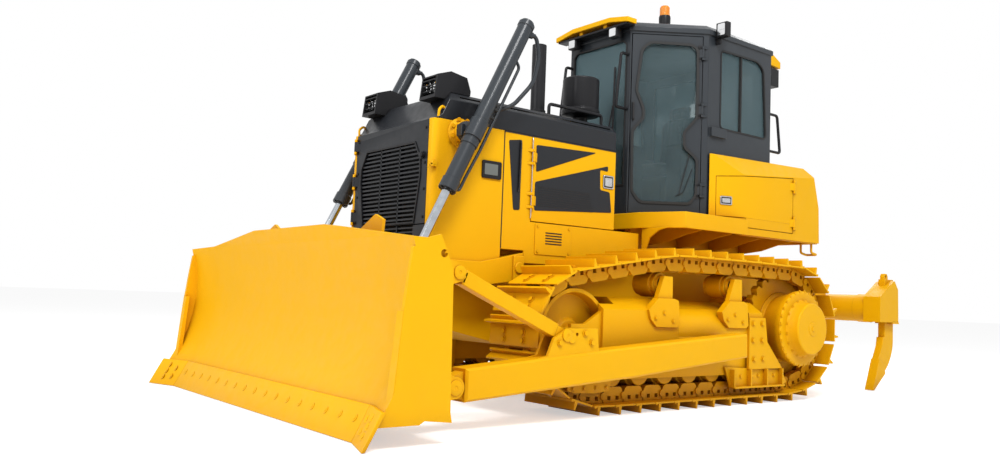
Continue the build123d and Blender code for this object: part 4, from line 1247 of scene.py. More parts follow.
grilleHalf = hood["half"] - 66
grilleLowZ = 1245
grilleOpening = [  # half outline, x and z
    (330, 1806), (404, 1690), (410, 1580), (352, 1262),
]
barRise, barDepth, barCount = 30, 26, 18
with building("grille_door"):
    hingeKnuckles(grilleAxis, [(-grilleHalf + 40, noseY + 3), (grilleAxis[0], noseY - hinge["out"] - 8),
        (-grilleHalf + 6, noseY + 3)], grilleHinges)
    frontPlate([(-grilleHalf, grilleLowZ), (grilleHalf, grilleLowZ), (grilleHalf, hood["bottomZ"] - 6),
        (-grilleHalf, hood["bottomZ"] - 6)], noseY + 2, noseY + 40)
    frontPlate(mirrored(grilleOpening), noseY + 1, noseY + 41, cut=True)
    for k in range(barCount):
        z = 1275 + k * barRise
        sidePlate([(noseY + 5, z), (noseY + 5 + barDepth, z + 9), (noseY + 5 + barDepth, z + 20),
            (noseY + 5, z + 13)], -412, 412)
    for x in (-130, 130):
        block(x - 6, x + 6, noseY + 5, noseY + 38, grilleLowZ + 1, 1820)
    lengthwiseBar(440, 1713, 26, noseY - 12, noseY + 2)

hoodShoulder = 60
with building("hood"):
    frontPlate([(-hood["half"], hood["bottomZ"] + seat), (-hood["half"], hood["topZ"] - hoodShoulder),
        (-hood["half"] + hoodShoulder, hood["topZ"]), (hood["half"] - hoodShoulder, hood["topZ"]),
        (hood["half"], hood["topZ"] - hoodShoulder), (hood["half"], hood["bottomZ"] + seat)], noseY + 8,
        engineDoor["rearY"])
    sidePlate([(noseY, hood["bottomZ"] + seat), (noseY + 20, hood["bottomZ"] + seat)] + noseSlope + [(-1962,
        hood["topZ"] + 1), (noseY, hood["topZ"] + 1)], -hood["half"] - 1, hood["half"] + 1, cut=True)
    block(-hood["half"] + 25, hood["half"] - 25, -1900, engineDoor["rearY"] - 35, hood["bottomZ"] - 1,
        hood["topZ"] - 25, cut=True)

engineAxisX, engineAxisY = hood["half"] + hinge["out"], engineDoor["frontY"] - gap / 2
engineHinges = (1480, 1800)
deck = {"topZ": 1500, "thick": 130, "half": 930, "rearHalf": 876, "frontY": -110}
with building("side_panels"):
    for sx in (1, -1):
        hingePins((sx * engineAxisX, engineAxisY), [(sx * (hood["half"] - 1), engineDoor["frontY"] - gap - 1),
            (sx * (engineAxisX + 8), engineAxisY), (sx * (hood["half"] - 1), engineDoor["frontY"] - gap - 50)],
            engineHinges)
        sidePlate([(guard["rearY"] + seat, 1110), (guard["rearY"] + seat, hood["bottomZ"]),
            (engineDoor["frontY"] - gap, hood["bottomZ"]), (engineDoor["frontY"] - gap, engineDoor["lowZ"] - gap),
            (deck["frontY"] - seat, engineDoor["lowZ"] - gap), (deck["frontY"] - seat, 1180), (-1060, 1020),
            (-1310, 1020), (-1310, 1110)], sx * (hood["half"] - engineDoor["skin"]), sx * hood["half"])

for _, sx, side in sides:
    with building(f"engine_door_{side}"):
        hingeKnuckles((sx * engineAxisX, engineAxisY), [(sx * (hood["half"] - 1), engineDoor["frontY"] + 1),
            (sx * (engineAxisX + 8), engineAxisY), (sx * (hood["half"] - 1), engineDoor["frontY"] + 45)],
            engineHinges)
        sidePlate([(engineDoor["frontY"], engineDoor["lowZ"]), (engineDoor["rearY"], engineDoor["lowZ"]),
            (engineDoor["rearY"], hood["bottomZ"] - gap), (engineDoor["frontY"], hood["bottomZ"] - gap)],
            sx * (hood["half"] - engineDoor["skin"]), sx * hood["half"])

podInner, podOuter = 310, 505
podSide = [
    (-2095, 2112), (-2075, 2275), (-1966, 2312), (-1830, 2290), (-1795, 2200), (-1798, hood["topZ"] + seat),
    (-1963, hood["topZ"] + seat), (-2005, 2111),
]
with building("lamp_pods"):
    for sx in (1, -1):
        sidePlate(podSide, sx * podInner, sx * podOuter)
        sidePlate([(-2110, 2135), (-2040, 2135), (-2030, 2265), (-2110, 2265)], sx * (podInner + 14),
            sx * (podOuter - 14), cut=True)
        # rails over the lamps
        for z in (2165, 2205, 2240):
            block(sx * (podInner + 10), sx * (podOuter - 10), -2080, -2068, z, z + 8)

stackX, stackY, stackRadius = 300, -1010, 56
with building("exhaust_stack"):
    post(stackX, stackY, stackRadius + 8, hood["topZ"] + seat, 2225)
    post(stackX, stackY, stackRadius, hood["topZ"] + seat, 2743)
    post(stackX, stackY, stackRadius - 4, 2500, 2744, cut=True)

intakeProfile = [  # radius, z up the air cleaner's cap
    (0, hood["topZ"] + seat), (60, hood["topZ"] + seat), (60, 2250), (152, 2268), (158, 2290), (158, 2312),
    (146, 2321), (150, 2330), (150, 2564), (140, 2574), (0, 2574),
]
with building("precleaner"):
    spun(250, -510, intakeProfile)

# deck and tank
tank = {
    "half": 900, "rearY": 1962, "skirtZ": 1377, "frontTopZ": 2040, "rearTopZ": 2080,
    "frontCreaseZ": 1860, "rearCreaseZ": 1985,
    "cornerY": 810,  # where the slanted front meets the side
    "doorY": 1530, "doorLowZ": 1520, "doorSkirtZ": 1440, "doorSheet": 12,
}
deckStepY = tank["cornerY"] + 25  # behind this the tank's side hangs outside the deck
deckRearY = tank["rearY"] + 8.0
deckSkin = 24


def deckPlan(inset):
    # half the deck's outline, x and y
    return [(hood["half"] - inset, deck["frontY"] + inset), (deck["half"] - inset, 30 + inset),
        (deck["half"] - inset, deckStepY - inset), (deck["rearHalf"] - inset, deckStepY - inset),
        (deck["rearHalf"] - inset, deckRearY - inset)]


ribPlaces = (300, 700, 1150, 1600)
with building("deck"):
    planPlate(mirrored(deckPlan(0)), deck["topZ"] - deck["thick"], deck["topZ"])
    planPlate(mirrored(deckPlan(deckSkin)), deck["topZ"] - deck["thick"] - 1, deck["topZ"] - deckSkin, cut=True)
    for sx in (1, -1):
        block(sx * 200, sx * 260, 100, 1600, hull["topZ"] + seat, deck["topZ"] - deckSkin + 1)
        # leg at the front, beside the engine panels
        frontPlate([(sx * (hood["half"] + 4), 1180), (sx * (hood["half"] + 45), 1180),
            (sx * (hood["half"] + 90), 1290), (sx * (hood["half"] + 190), 1350), (sx * (deck["half"] - 60), 1371),
            (sx * (hood["half"] + 4), 1371)], deck["frontY"] + 30, deck["frontY"] + 45)
        # ribs across the underside
        for y in ribPlaces:
            frontPlate([(sx * 250, 1260), (sx * 520, 1290), (sx * 700, 1340), (sx * (deck["rearHalf"] - 10), 1372),
                (sx * (deck["rearHalf"] - 10), deck["topZ"] - deckSkin + 1), (sx * 250, deck["topZ"] - deckSkin + 1)],
                y, y + 12)
        # step loop at the rear
        bentBar([(sx * 740, deckRearY - 60, 1380), (sx * 740, deckRearY - 60, 1290), (sx * 740, deckRearY + 30, 1275),
            (sx * 850, deckRearY + 30, 1275), (sx * 850, deckRearY - 60, 1290), (sx * 850, deckRearY - 60, 1380)], 11,
            22)
        block(sx * 715, sx * 875, deckRearY - 85, deckRearY - 35, 1369, 1381)

cab = {
    "frontHalf": 370, "half": 770, "frontY": -70, "postY": 470, "rearY": 1360,
    "floorZ": 1500.3, "eaveZ": 3060, "roofZ": 3150, "wall": 50,
}
tankFrontY = cab["rearY"] + 20
tankInner = cab["half"] + 15
tankAxis = (tank["half"] + hinge["out"], tank["doorY"] + gap / 2)
tankHinges = (1530, 1860)
tankSlantY = 490  # front end of the slanted face, beside the cab


def tankSection(creaseZ, topZ):
    # the tank seen from the rear, x and z
    return [(-tank["half"], tank["skirtZ"]), (-tank["half"], creaseZ), (-tank["half"] + 105, topZ),
        (tank["half"] - 105, topZ), (tank["half"], creaseZ), (tank["half"], tank["skirtZ"])]


def slantPoint(along):
    # on the slanted face, at a distance from its front end
    runX, runY = tank["half"] - tankInner, tank["cornerY"] - tankSlantY
    length = math.hypot(runX, runY)
    return (tankInner + runX * along / length, tankSlantY + runY * along / length)


def doorSheet(depth, grow, cut=False):
    # the tank's side door as a sheet that wraps the slanted corner
    length = math.hypot(tank["half"] - tankInner, tank["cornerY"] - tankSlantY)
    normal = ((tank["cornerY"] - tankSlantY) / length, -(tank["half"] - tankInner) / length)
    lean = normal[1] / (1 + normal[0])
    front = slantPoint(70 - grow)
    proud = 1 if grow else 0
    wrap = [(front[0] + normal[0] * proud, front[1] + normal[1] * proud),
        (tank["half"] + proud, tank["cornerY"] + lean * proud), (tank["half"] + proud, tank["doorY"] + grow),
        (tank["half"] - depth, tank["doorY"] + grow), (tank["half"] - depth, tank["cornerY"] - lean * depth),
        (front[0] - normal[0] * depth, front[1] - normal[1] * depth)]
    skirt = [(tank["half"] + proud, deckStepY + 10 - grow), (tank["half"] + proud, tank["doorY"] + grow),
        (tank["half"] - depth, tank["doorY"] + grow), (tank["half"] - depth, deckStepY + 10 - grow)]
    slopedPlate(wrap, tank["doorLowZ"] - grow, 1838 + grow, 400, 110 / 1300, cut)
    planPlate(skirt, tank["doorSkirtZ"] - grow, tank["doorLowZ"] + 1, cut)


with building("fuel_tank"):
    loftY(tankSection(tank["frontCreaseZ"], tank["frontTopZ"]), tankSlantY,
        tankSection(tank["rearCreaseZ"], tank["rearTopZ"]), tank["rearY"])
    # rear face
    sidePlate([(1845, 2100), (1870, 1977), (1948, 1702), (tank["rearY"] - 4, 1376), (tank["rearY"] + 1, 1376),
        (tank["rearY"] + 1, 2100)], -tank["half"] - 1, tank["half"] + 1, cut=True)
    # the cab stands between the tank's two wings
    block(-tankInner, tankInner, 400, tankFrontY, tank["skirtZ"] - 1, tank["rearTopZ"] + 1, cut=True)
    # only the sides hang below the deck's top
    block(-deck["rearHalf"] - 1, deck["rearHalf"] + 1, 400, tank["rearY"] + 1, tank["skirtZ"] - 1,
        deck["topZ"] + seat, cut=True)
    for sx in (1, -1):
        planPlate([(sx * tankInner, tankSlantY), (sx * (tank["half"] + 5), tank["cornerY"] + 13),
            (sx * (tank["half"] + 5), tankSlantY - 5), (sx * tankInner, tankSlantY - 5)], tank["skirtZ"] - 1,
            tank["rearTopZ"] + 1, cut=True)
        block(sx * deck["rearHalf"], sx * (tank["half"] + 5), 400, deckStepY + 5, tank["skirtZ"] - 1,
            deck["topZ"] + seat, cut=True)
    doorSheet(tank["doorSheet"] + gap, gap, cut=True)
    hingePins(tankAxis, [(tank["half"] - 1, tank["doorY"] + gap + 1), (tankAxis[0] + 8, tankAxis[1]),
        (tank["half"] - 1, tank["doorY"] + gap + 50)], tankHinges)

with building("tank_door"):
    doorSheet(tank["doorSheet"], 0)
    hingeKnuckles(tankAxis, [(tank["half"] - 1, tank["doorY"] - 1), (tankAxis[0] + 8, tankAxis[1]),
        (tank["half"] - 1, tank["doorY"] - 45)], tankHinges)

# cab
cabFrontY = cab["frontY"]
cabPlan = [(cab["frontHalf"], cabFrontY), (cab["half"], cab["postY"]), (cab["half"], cab["rearY"])]


def insetPlan(amount):
    # the cab's plan moved in by the wall's thickness
    slopeY, slopeX = cab["postY"] - cabFrontY, cab["half"] - cab["frontHalf"]
    length = math.hypot(slopeX, slopeY)
    shift = amount * (length - slopeX) / slopeY
    lean = amount * (length - slopeY) / slopeX
    return [(cab["frontHalf"] - shift, cabFrontY + amount), (cab["half"] - amount, cab["postY"] + lean),
        (cab["half"] - amount, cab["rearY"] - amount)]


doorLength = math.hypot(cab["half"] - cab["frontHalf"], cab["postY"] - cabFrontY)
doorMargin, doorFront = 48, 14  # left over behind and before the door
doorZ0, doorZ1 = cab["floorZ"] + 10, cab["eaveZ"] - 20


def doorRect(sx, x0, x1, z0, z1, depth0, depth1, cut=False):
    onPlane(doorPlane(sx), [(x0, z0), (x1, z0), (x1, z1), (x0, z1)], depth0, depth1, cut)


def onDoor(sx, along, out):
    point = spot(doorPlane(sx), along, 0, out) / mm
    return (point[0], point[1])


doorHingeX = 51  # where the door's hinge line runs, along the slanted side
doorHinges = (1720, 2400, 2890)
doorWindow = [  # along the slanted side from the rear post, z
    (500, 2960), (146, 2954), (102, 2916), (98, 2337), (208, 2212), (200, 2076), (92, 1980), (94, 1684),
    (144, 1614), (556, 1612), (622, 1699), (628, 2206), (536, 2314), (538, 2399), (602, 2550), (562, 2900),
]
sideWindow = [  # y, z
    (640, 2955), (1150, 2961), (1245, 2905), (1290, 2280), (640, 2280),
]
frontWindow = [(325, 1750), (325, 2950), (290, 2985)]
rearWindow = [(cab["half"] - 160, 2130), (cab["half"] - 160, cab["eaveZ"] - 90)]


def doorOutline(sx, points, depth0, depth1, cut=False, grow=0, radius=30):
    onPlane(doorPlane(sx), grown(rounded(points, radius), grow), depth0, depth1, cut)


def roundedSide(points, x0, x1, cut=False, grow=0, radius=45):
    sidePlate(grown(rounded(points, radius), grow), x0, x1, cut)


roofLip = 12
with building("cab_shell"):
    planPlate(mirrored(cabPlan), cab["floorZ"], cab["eaveZ"])
    planPlate(mirrored(insetPlan(cab["wall"])), cab["floorZ"] + 50, cab["eaveZ"] + 1, cut=True)
    # roof with an overhanging lip and a bevelled top
    planPlate(mirrored(insetPlan(-roofLip)), cab["eaveZ"], cab["eaveZ"] + 42)
    loftZ(mirrored(insetPlan(-roofLip)), cab["eaveZ"] + 42, mirrored(insetPlan(45)), cab["roofZ"])
    for sx in (1, -1):
        doorRect(sx, doorMargin, doorLength - doorFront, doorZ0, doorZ1, -cab["wall"] - 30, 30, cut=True)
        roundedSide(sideWindow, sx * (cab["half"] - cab["wall"] - 5), sx * (cab["half"] + 5), cut=True)
        # catch that holds the open door
        block(sx * (cab["half"] - 1), sx * (cab["half"] + 26), 500, 700, 2190, 2270)
    frontPlate(mirrored(frontWindow), cabFrontY - 5, cabFrontY + cab["wall"] + 5, cut=True)
    frontPlate(mirrored(rearWindow), cab["rearY"] - cab["wall"] - 5, cab["rearY"] + 5, cut=True)
    for sx in (1, -1):
        hingePins(onDoor(sx, doorHingeX, hinge["out"]), [onDoor(sx, doorMargin - 1, -1),
            onDoor(sx, doorHingeX, hinge["out"] + 8), onDoor(sx, 2, -1)], doorHinges)

glass = 6.0
with building("cab_glass"):
    for sx in (1, -1):
        roundedSide(sideWindow, sx * (cab["half"] - 24), sx * (cab["half"] - 24 + glass), grow=-seat)
    for outline, y in ((frontWindow, cabFrontY + 20), (rearWindow, cab["rearY"] - 26)):
        frontPlate(grown(mirrored(outline), -seat), y, y + glass)

for _, sx, side in sides:
    x0, x1 = doorMargin + gap, doorLength - doorFront - gap
    z0, z1 = doorZ0 + gap, doorZ1 - gap
    with building(f"cab_door_{side}"):
        doorRect(sx, x0, x1, z0, z1, -45, 0)
        doorOutline(sx, doorWindow, -46, 1, cut=True)
        # raised lip round the window
        doorOutline(sx, doorWindow, -1, 7, grow=14)
        doorOutline(sx, doorWindow, -46, 8, cut=True)
        hingeKnuckles(onDoor(sx, doorHingeX, hinge["out"]), [onDoor(sx, x0 + 1, -1),
            onDoor(sx, doorHingeX, hinge["out"] + 8), onDoor(sx, x0 + 46, -1)], doorHinges)
    with building(f"door_glass_{side}"):
        doorOutline(sx, doorWindow, -26, -20, grow=-seat)

visorHalf, visorFrontY = 450, -192
rearVisor = [(1440, 3110), (1465, 3186), (1549, 3204), (1752, 3108), (1753, 3047), (1566, 3062), (1440, 3040)]
with building("roof_visors"):
    frontPlate([(-visorHalf, 3098), (-visorHalf, 3140), (-230, 3178), (230, 3178), (visorHalf, 3140),
        (visorHalf, 3098), (230, 3136), (-230, 3136)], visorFrontY, cabFrontY - roofLip - seat)
    # arms that carry the front visor
    for x in (-150, 150):
        block(x - 20, x + 20, visorFrontY + 30, cabFrontY - roofLip - seat, 3100, 3137)
    sidePlate(rearVisor, -600, 600)
    for x in (-420, 420):
        block(x - 30, x + 30, cab["rearY"] + roofLip + seat, 1460, 3072, 3098)

with building("beacon"):
    spun(300, 430, [(0, 3215), (46, 3215), (48, 3225), (46, 3390), (36, 3409), (0, 3418)])

lampFrontY = cabFrontY - 100
with building("cab_lamps"):
    for sx in (1, -1):
        # under the front visor
        block(sx * 205, sx * 305, lampFrontY, lampFrontY + 60, 3005, 3092)
        block(sx * 240, sx * 270, lampFrontY + 20, cabFrontY - seat, 3030, 3050)
        # at the roof's side
        block(sx * (cab["half"] + 16), sx * (cab["half"] + 130), 540, 595, 3040, 3168)
        block(sx * (cab["half"] + seat), sx * (cab["half"] + 50), 555, 580, 2990, 3041)
        # below the rear visor
        block(sx * 430, sx * 590, 1620, 1742, 2865, 3035)
        block(sx * 480, sx * 540, 1660, 1700, 3034, 3051 - seat)

gripRadius = 13
railX = 426  # the hood rail passes the air cleaner
with building("handrails"):
    for sx in (1, -1):
        # beside the front window, down the corner post
        bentBar([(sx * 345, cabFrontY - seat, 2860), (sx * 345, cabFrontY - 80, 2860),
            (sx * 345, cabFrontY - 130, 2390), (sx * 345, cabFrontY - seat, 2390)], gripRadius, 25)
        # on the cab's rear corner
        bentBar([(sx * 735, cab["rearY"] + seat, 2532), (sx * 735, cab["rearY"] + 150, 2532),
            (sx * 735, cab["rearY"] + 200, 2190), (sx * 735, cab["rearY"] + seat, 2190)], gripRadius, 30)
        # along the hood
        bentBar([(sx * railX, -1000, hood["topZ"] + seat), (sx * railX, -1000, 2262), (sx * railX, -440, 2262),
            (sx * railX, -440, hood["topZ"] + seat)], gripRadius, 30)

with building("control_consoles"):
    block(-180, 180, 560, 940, cab["floorZ"] + 50 + seat, 1900 - seat)
    for sx in (1, -1):
        block(sx * 310, sx * 480, 480, 1000, cab["floorZ"] + 50 + seat, 2150)
    block(-250, 250, 40, 240, cab["floorZ"] + 50 + seat, 2120)

# blade
blade = {
    "half": 1667,  # out to the side plates
    "fold": 1412,  # where each wing starts
    "wingAngle": 19, "height": 1173,
    "shoulder": 1060,  # top edge at the blade's ends
    "plateau": 546,  # half width of the raised middle
    "lug": (-2740, 985), "lugRadius": 22,
    "edgeThick": 25,
}
wing = Vector((math.cos(math.radians(blade["wingAngle"])), -math.sin(math.radians(blade["wingAngle"])), 0))
wingLength = (blade["half"] - blade["fold"]) / math.cos(math.radians(blade["wingAngle"]))
bladeBackY = -2640
edgeBottomZ, edgeTopZ = 2.0, 190
edgeFrontY = -3089
edgeLean = 0.574  # run back for each millimetre up


def edgeBack(z):
    # where the cutting edge's rear face lies at a height
    return edgeFrontY + blade["edgeThick"] * 0.8 + edgeLean * (z - edgeBottomZ)


def arcThrough(a, b, c, steps):
    # points on the circle through three (y, z) points
    d = 2 * (a[0] * (b[1] - c[1]) + b[0] * (c[1] - a[1]) + c[0] * (a[1] - b[1]))
    sa, sb, sc = (p[0] ** 2 + p[1] ** 2 for p in (a, b, c))
    cy = (sa * (b[1] - c[1]) + sb * (c[1] - a[1]) + sc * (a[1] - b[1])) / d
    cz = (sa * (c[0] - b[0]) + sb * (a[0] - c[0]) + sc * (b[0] - a[0])) / d
    radius = math.hypot(a[0] - cy, a[1] - cz)
    start, stop = math.atan2(a[1] - cz, a[0] - cy), math.atan2(c[1] - cz, c[0] - cy)
    while stop - start > math.pi:
        stop -= 2 * math.pi
    while stop - start < -math.pi:
        stop += 2 * math.pi
    return [(cy + radius * math.cos(start + (stop - start) * k / steps),
        cz + radius * math.sin(start + (stop - start) * k / steps)) for k in range(steps + 1)]


def bladeSection(shift=0.0):
    # moldboard curve in front, closed box behind
    face = arcThrough((edgeBack(edgeTopZ) + seat, edgeTopZ), (-2815, 600), (-2880, blade["height"]), 18)
    rest = [(-2790, blade["height"]), (bladeBackY, 1000), (bladeBackY, 180), (-2760, 110), (edgeBack(110) + seat, 110)]
    return [(y + shift, z) for y, z in face + rest]


endPlate = [  # y, z
    (-2929, 1007), (-2830, 1063), (-2763, 1083), (-2678, 901), (-2660, 165), (-2648, 110), (-3010, 150),
    (-2970, 681), (-2946, 887),
]
wearStrip = [(-2972, 683), (-2945, 683), (-2985, 160), (-3017, 160)]
rockGuard = [(580, 940), (560, 1158), (745, 1246), (841, 1210), (806, 940)]  # x, z above the blade's back
pocketColumns = ((24, 330), (360, 650), (850, 1190))  # x
pocketRows = ((200, 355), (385, 640), (670, 935))  # z
brace = {"pin": (-1585, 545), "pinRadius": 28, "top": (-2430, 900)}
with building("blade_board"):
    sidePlate(bladeSection(), -blade["fold"], blade["fold"])
    for sx in (1, -1):
        loftX(bladeSection(), sx * blade["fold"], bladeSection(wing.y * wingLength), sx * blade["half"])
    for sx in (1, -1):
        frontPlate([(sx * blade["plateau"], blade["height"]), (sx * (blade["half"] - 300), blade["shoulder"] + 25),
            (sx * (blade["half"] + 5), blade["shoulder"]), (sx * (blade["half"] + 5), blade["height"] + 50),
            (sx * blade["plateau"], blade["height"] + 50)], -3200, -2500, cut=True)
        # open bays between the ribs of the back
        for x0, x1 in pocketColumns:
            for z0, z1 in pocketRows:
                block(sx * x0, sx * x1, bladeBackY - 100, bladeBackY + 1, z0, z1, cut=True)
        # pocket and lugs for the lift rod's eye
        block(sx * (lift["x"] - 60), sx * (lift["x"] + 60), -2720, -2600, 380, 800, cut=True)
        crossBar(*lift["eye"], 26, sx * (lift["x"] - 60), sx * (lift["x"] + 60))
        for x in (sx * (lift["x"] - 80), sx * (lift["x"] + 60)):
            sidePlate([(bladeBackY - 1, 400), (bladeBackY - 1, 760), (lift["eye"][0], 640),
                *around(lift["eye"], (60, 30), (60, -30), (0, -80))], x, x + sx * 20)
        frontPlate([(sx * x, z) for x, z in rockGuard], bladeBackY - 1, bladeBackY + 19)
        # clevis for the push arm
        for x in (sx * (armInner + 8), sx * (armOuter - 32)):
            sidePlate([(bladeBackY - 1, 140), (bladeBackY - 1, 365),
                (arm["knuckle"][0], arm["knuckle"][1] + arm["knuckleRadius"]),
                (arm["knuckle"][0], arm["knuckle"][1] - arm["knuckleRadius"])], x, x + sx * 24)
            crossBar(*arm["knuckle"], arm["knuckleRadius"], x, x + sx * 24)
        crossBar(*arm["knuckle"], 30 + seat, sx * (armInner + 7), sx * (armOuter - 7), cut=True)
        # clevis for the brace
        for x in (sx * (armInner + 8), sx * (armOuter - 28)):
            sidePlate([(bladeBackY - 1, 780), (bladeBackY - 1, 1010),
                *around(brace["top"], (-10, 55), (45, 20), (45, -30), (0, -55))], x, x + sx * 20)
        crossBar(*brace["top"], brace["pinRadius"] + seat, sx * (armInner + 7), sx * (armOuter - 7), cut=True)
        # side plate with its wear strip
        sidePlate(endPlate, sx * (blade["half"] - 25), sx * blade["half"])
        sidePlate(wearStrip, sx * (blade["half"] - 60), sx * (blade["half"] - 1))
        crossBar(*blade["lug"], blade["lugRadius"], sx * (blade["half"] - 26), sx * (blade["half"] + 1), cut=True)

edgeSection = [
    (edgeFrontY, edgeBottomZ), (edgeBack(edgeBottomZ), edgeBottomZ),
    (edgeBack(edgeTopZ - 4), edgeTopZ - 4),
    (edgeBack(edgeTopZ - 4) - blade["edgeThick"], edgeTopZ),
]
endBitHalf = 1700
with building("cutting_edges"):
    sidePlate(edgeSection, -blade["fold"] + 1, blade["fold"] - 1)
    for sx in (1, -1):
        # the wing has turned this far forward at the joint, and at the bit's end
        near, far = wing.y / wing.x, wing.y / wing.x * (endBitHalf - blade["fold"])
        loftX([(y + near, z) for y, z in edgeSection], sx * (blade["fold"] + 1),
            [(y + far, z) for y, z in edgeSection], sx * endBitHalf)

bracketOutline = [(-1830, 400), (-1739, 419), (-1690, 530), (-1575, 590), (-1320, 590), (-1305, 440)]
armOutline = [
    (arm["frontY"] + 14, 165), (arm["frontY"] + 14, 355), (-1307, 447), (arm["pivot"][0] + 82, 561),
    (arm["pivot"][0] + 86, 383), (-926, 271), (-1882, 202),
]
armChamfer = 14
with building("push_arms"):
    for sx in (1, -1):
        sidePlate(armOutline, sx * armInner, sx * (armOuter - armChamfer))
        loftX(armOutline, sx * (armOuter - armChamfer), grown(armOutline, -armChamfer), sx * armOuter)
        # tongue and pin at the blade
        sidePlate([(arm["knuckle"][0], arm["knuckle"][1] - arm["knuckleRadius"]),
            (arm["knuckle"][0], arm["knuckle"][1] + arm["knuckleRadius"]), (arm["frontY"] + 20, 340),
            (arm["frontY"] + 20, 180)], sx * (armInner + 33), sx * (armOuter - 33))
        crossBar(*arm["knuckle"], arm["knuckleRadius"], sx * (armInner + 33), sx * (armOuter - 33))
        crossBar(*arm["knuckle"], 30, sx * (armInner + 4), sx * (armOuter - 4))
        # bracket for the brace
        for x in (armInner + 10, armOuter - 36):
            sidePlate(bracketOutline, sx * x, sx * (x + 22))
        crossBar(-1545, 531, 34, sx * (armOuter - 15), sx * (armOuter - 6))
        crossBar(*arm["pivot"], 66, sx * (armInner - 1), sx * (armOuter - 40), cut=True)
        crossBar(-1500, 552, 12, sx * (armInner + 9), sx * (armOuter - 13), cut=True)

braceRun = Vector((0, brace["pin"][0] - brace["top"][0], brace["pin"][1] - brace["top"][1])).normalized()
braceAcross = Vector((0, -braceRun.z, braceRun.y))
braceHalf = 44


def braceCorner(endY, endZ, along, across):
    # a corner of the strut, measured from one of its pins
    point = Vector((0, endY, endZ)) + braceRun * along + braceAcross * across
    return (point.y, point.z)


with building("blade_braces"):
    for sx in (1, -1):
        sidePlate([braceCorner(*brace["top"], 62, -braceHalf), braceCorner(*brace["top"], 62, braceHalf),
            braceCorner(*brace["pin"], -70, braceHalf), braceCorner(*brace["pin"], -70, -braceHalf)],
            sx * (armInner + 35), sx * (armOuter - 39))
        for y, z, along in ((*brace["top"], 80), (*brace["pin"], -80)):
            sidePlate([braceCorner(y, z, 0, -34), braceCorner(y, z, 0, 34), braceCorner(y, z, along, 34),
                braceCorner(y, z, along, -34)], sx * (armInner + 35), sx * (armOuter - 39))
            crossBar(y, z, 34, sx * (armInner + 35), sx * (armOuter - 39))
        crossBar(*brace["top"], brace["pinRadius"], sx * (armInner + 6), sx * (armOuter - 6))
        crossBar(*brace["pin"], brace["pinRadius"], sx * (armInner + 10), sx * (armOuter - 14))

# lift cylinders
liftDy, liftDz = lift["eye"][0] - lift["pivot"][0], lift["eye"][1] - lift["pivot"][1]
liftLength = math.hypot(liftDy, liftDz)
liftAxis = Vector((0, liftDy / liftLength, liftDz / liftLength))
liftRear = Vector((0, -liftAxis.z, liftAxis.y))  # square to the barrel, towards the machine's rear
eyePinRadius = 26


def besideBarrel(pivot, along, out):
    point = pivot + liftAxis * along + liftRear * out
    return (point.x, point.y, point.z)


pipeRadius = 11
for _, sx, side in sides:
    pivot = Vector((sx * lift["x"], *lift["pivot"]))
    with building(f"lift_barrel_{side}"):
        outline = [(-lift["up"] + 50, 0), (-lift["up"] + 50, lift["rodRadius"] + 1),
            (lift["down"], lift["rodRadius"] + 1), (lift["down"], 62), (lift["down"] - 78, 62),
            (lift["down"] - 78, 55), (70, 55), (70, 64), (-70, 64), (-70, 55), (-lift["up"] + 50, 55),
            (-lift["up"] + 50, 60), (-lift["up"] + 16, 60), (-lift["up"] + 16, 49), (-lift["up"], 49),
            (-lift["up"], 0)]
        alongAxis(pivot, liftAxis, outline)
        # yoke and trunnion
        turned(sx * hood["half"], sx, *lift["pivot"], [(60 + seat, 0), (60 + seat, 74), (95, 70), (112, 52),
            (lift["x"] - hood["half"] - 40, 52), (lift["x"] - hood["half"] - 40, 0)])
        # pipe from the top port to the fitting at the bottom cap
        bentBar([besideBarrel(pivot, -lift["up"] + 300, 40), besideBarrel(pivot, -lift["up"] + 330, 96),
            besideBarrel(pivot, 110, 96), besideBarrel(pivot, lift["down"] - 150, 84),
            besideBarrel(pivot, lift["down"] - 45, 84), besideBarrel(pivot, lift["down"] - 38, 40)], pipeRadius, 24)
    with building(f"lift_rod_{side}"):
        alongAxis(pivot, liftAxis, [(60, 0), (60, lift["rodRadius"]), (liftLength - 60, lift["rodRadius"]),
            (liftLength - 60, 0)])
        crossBar(*lift["eye"], 85, sx * (lift["x"] - 45), sx * (lift["x"] + 45))
        crossBar(*lift["eye"], eyePinRadius + lift["eyeDrift"], sx * (lift["x"] - 46), sx * (lift["x"] + 46), cut=True)

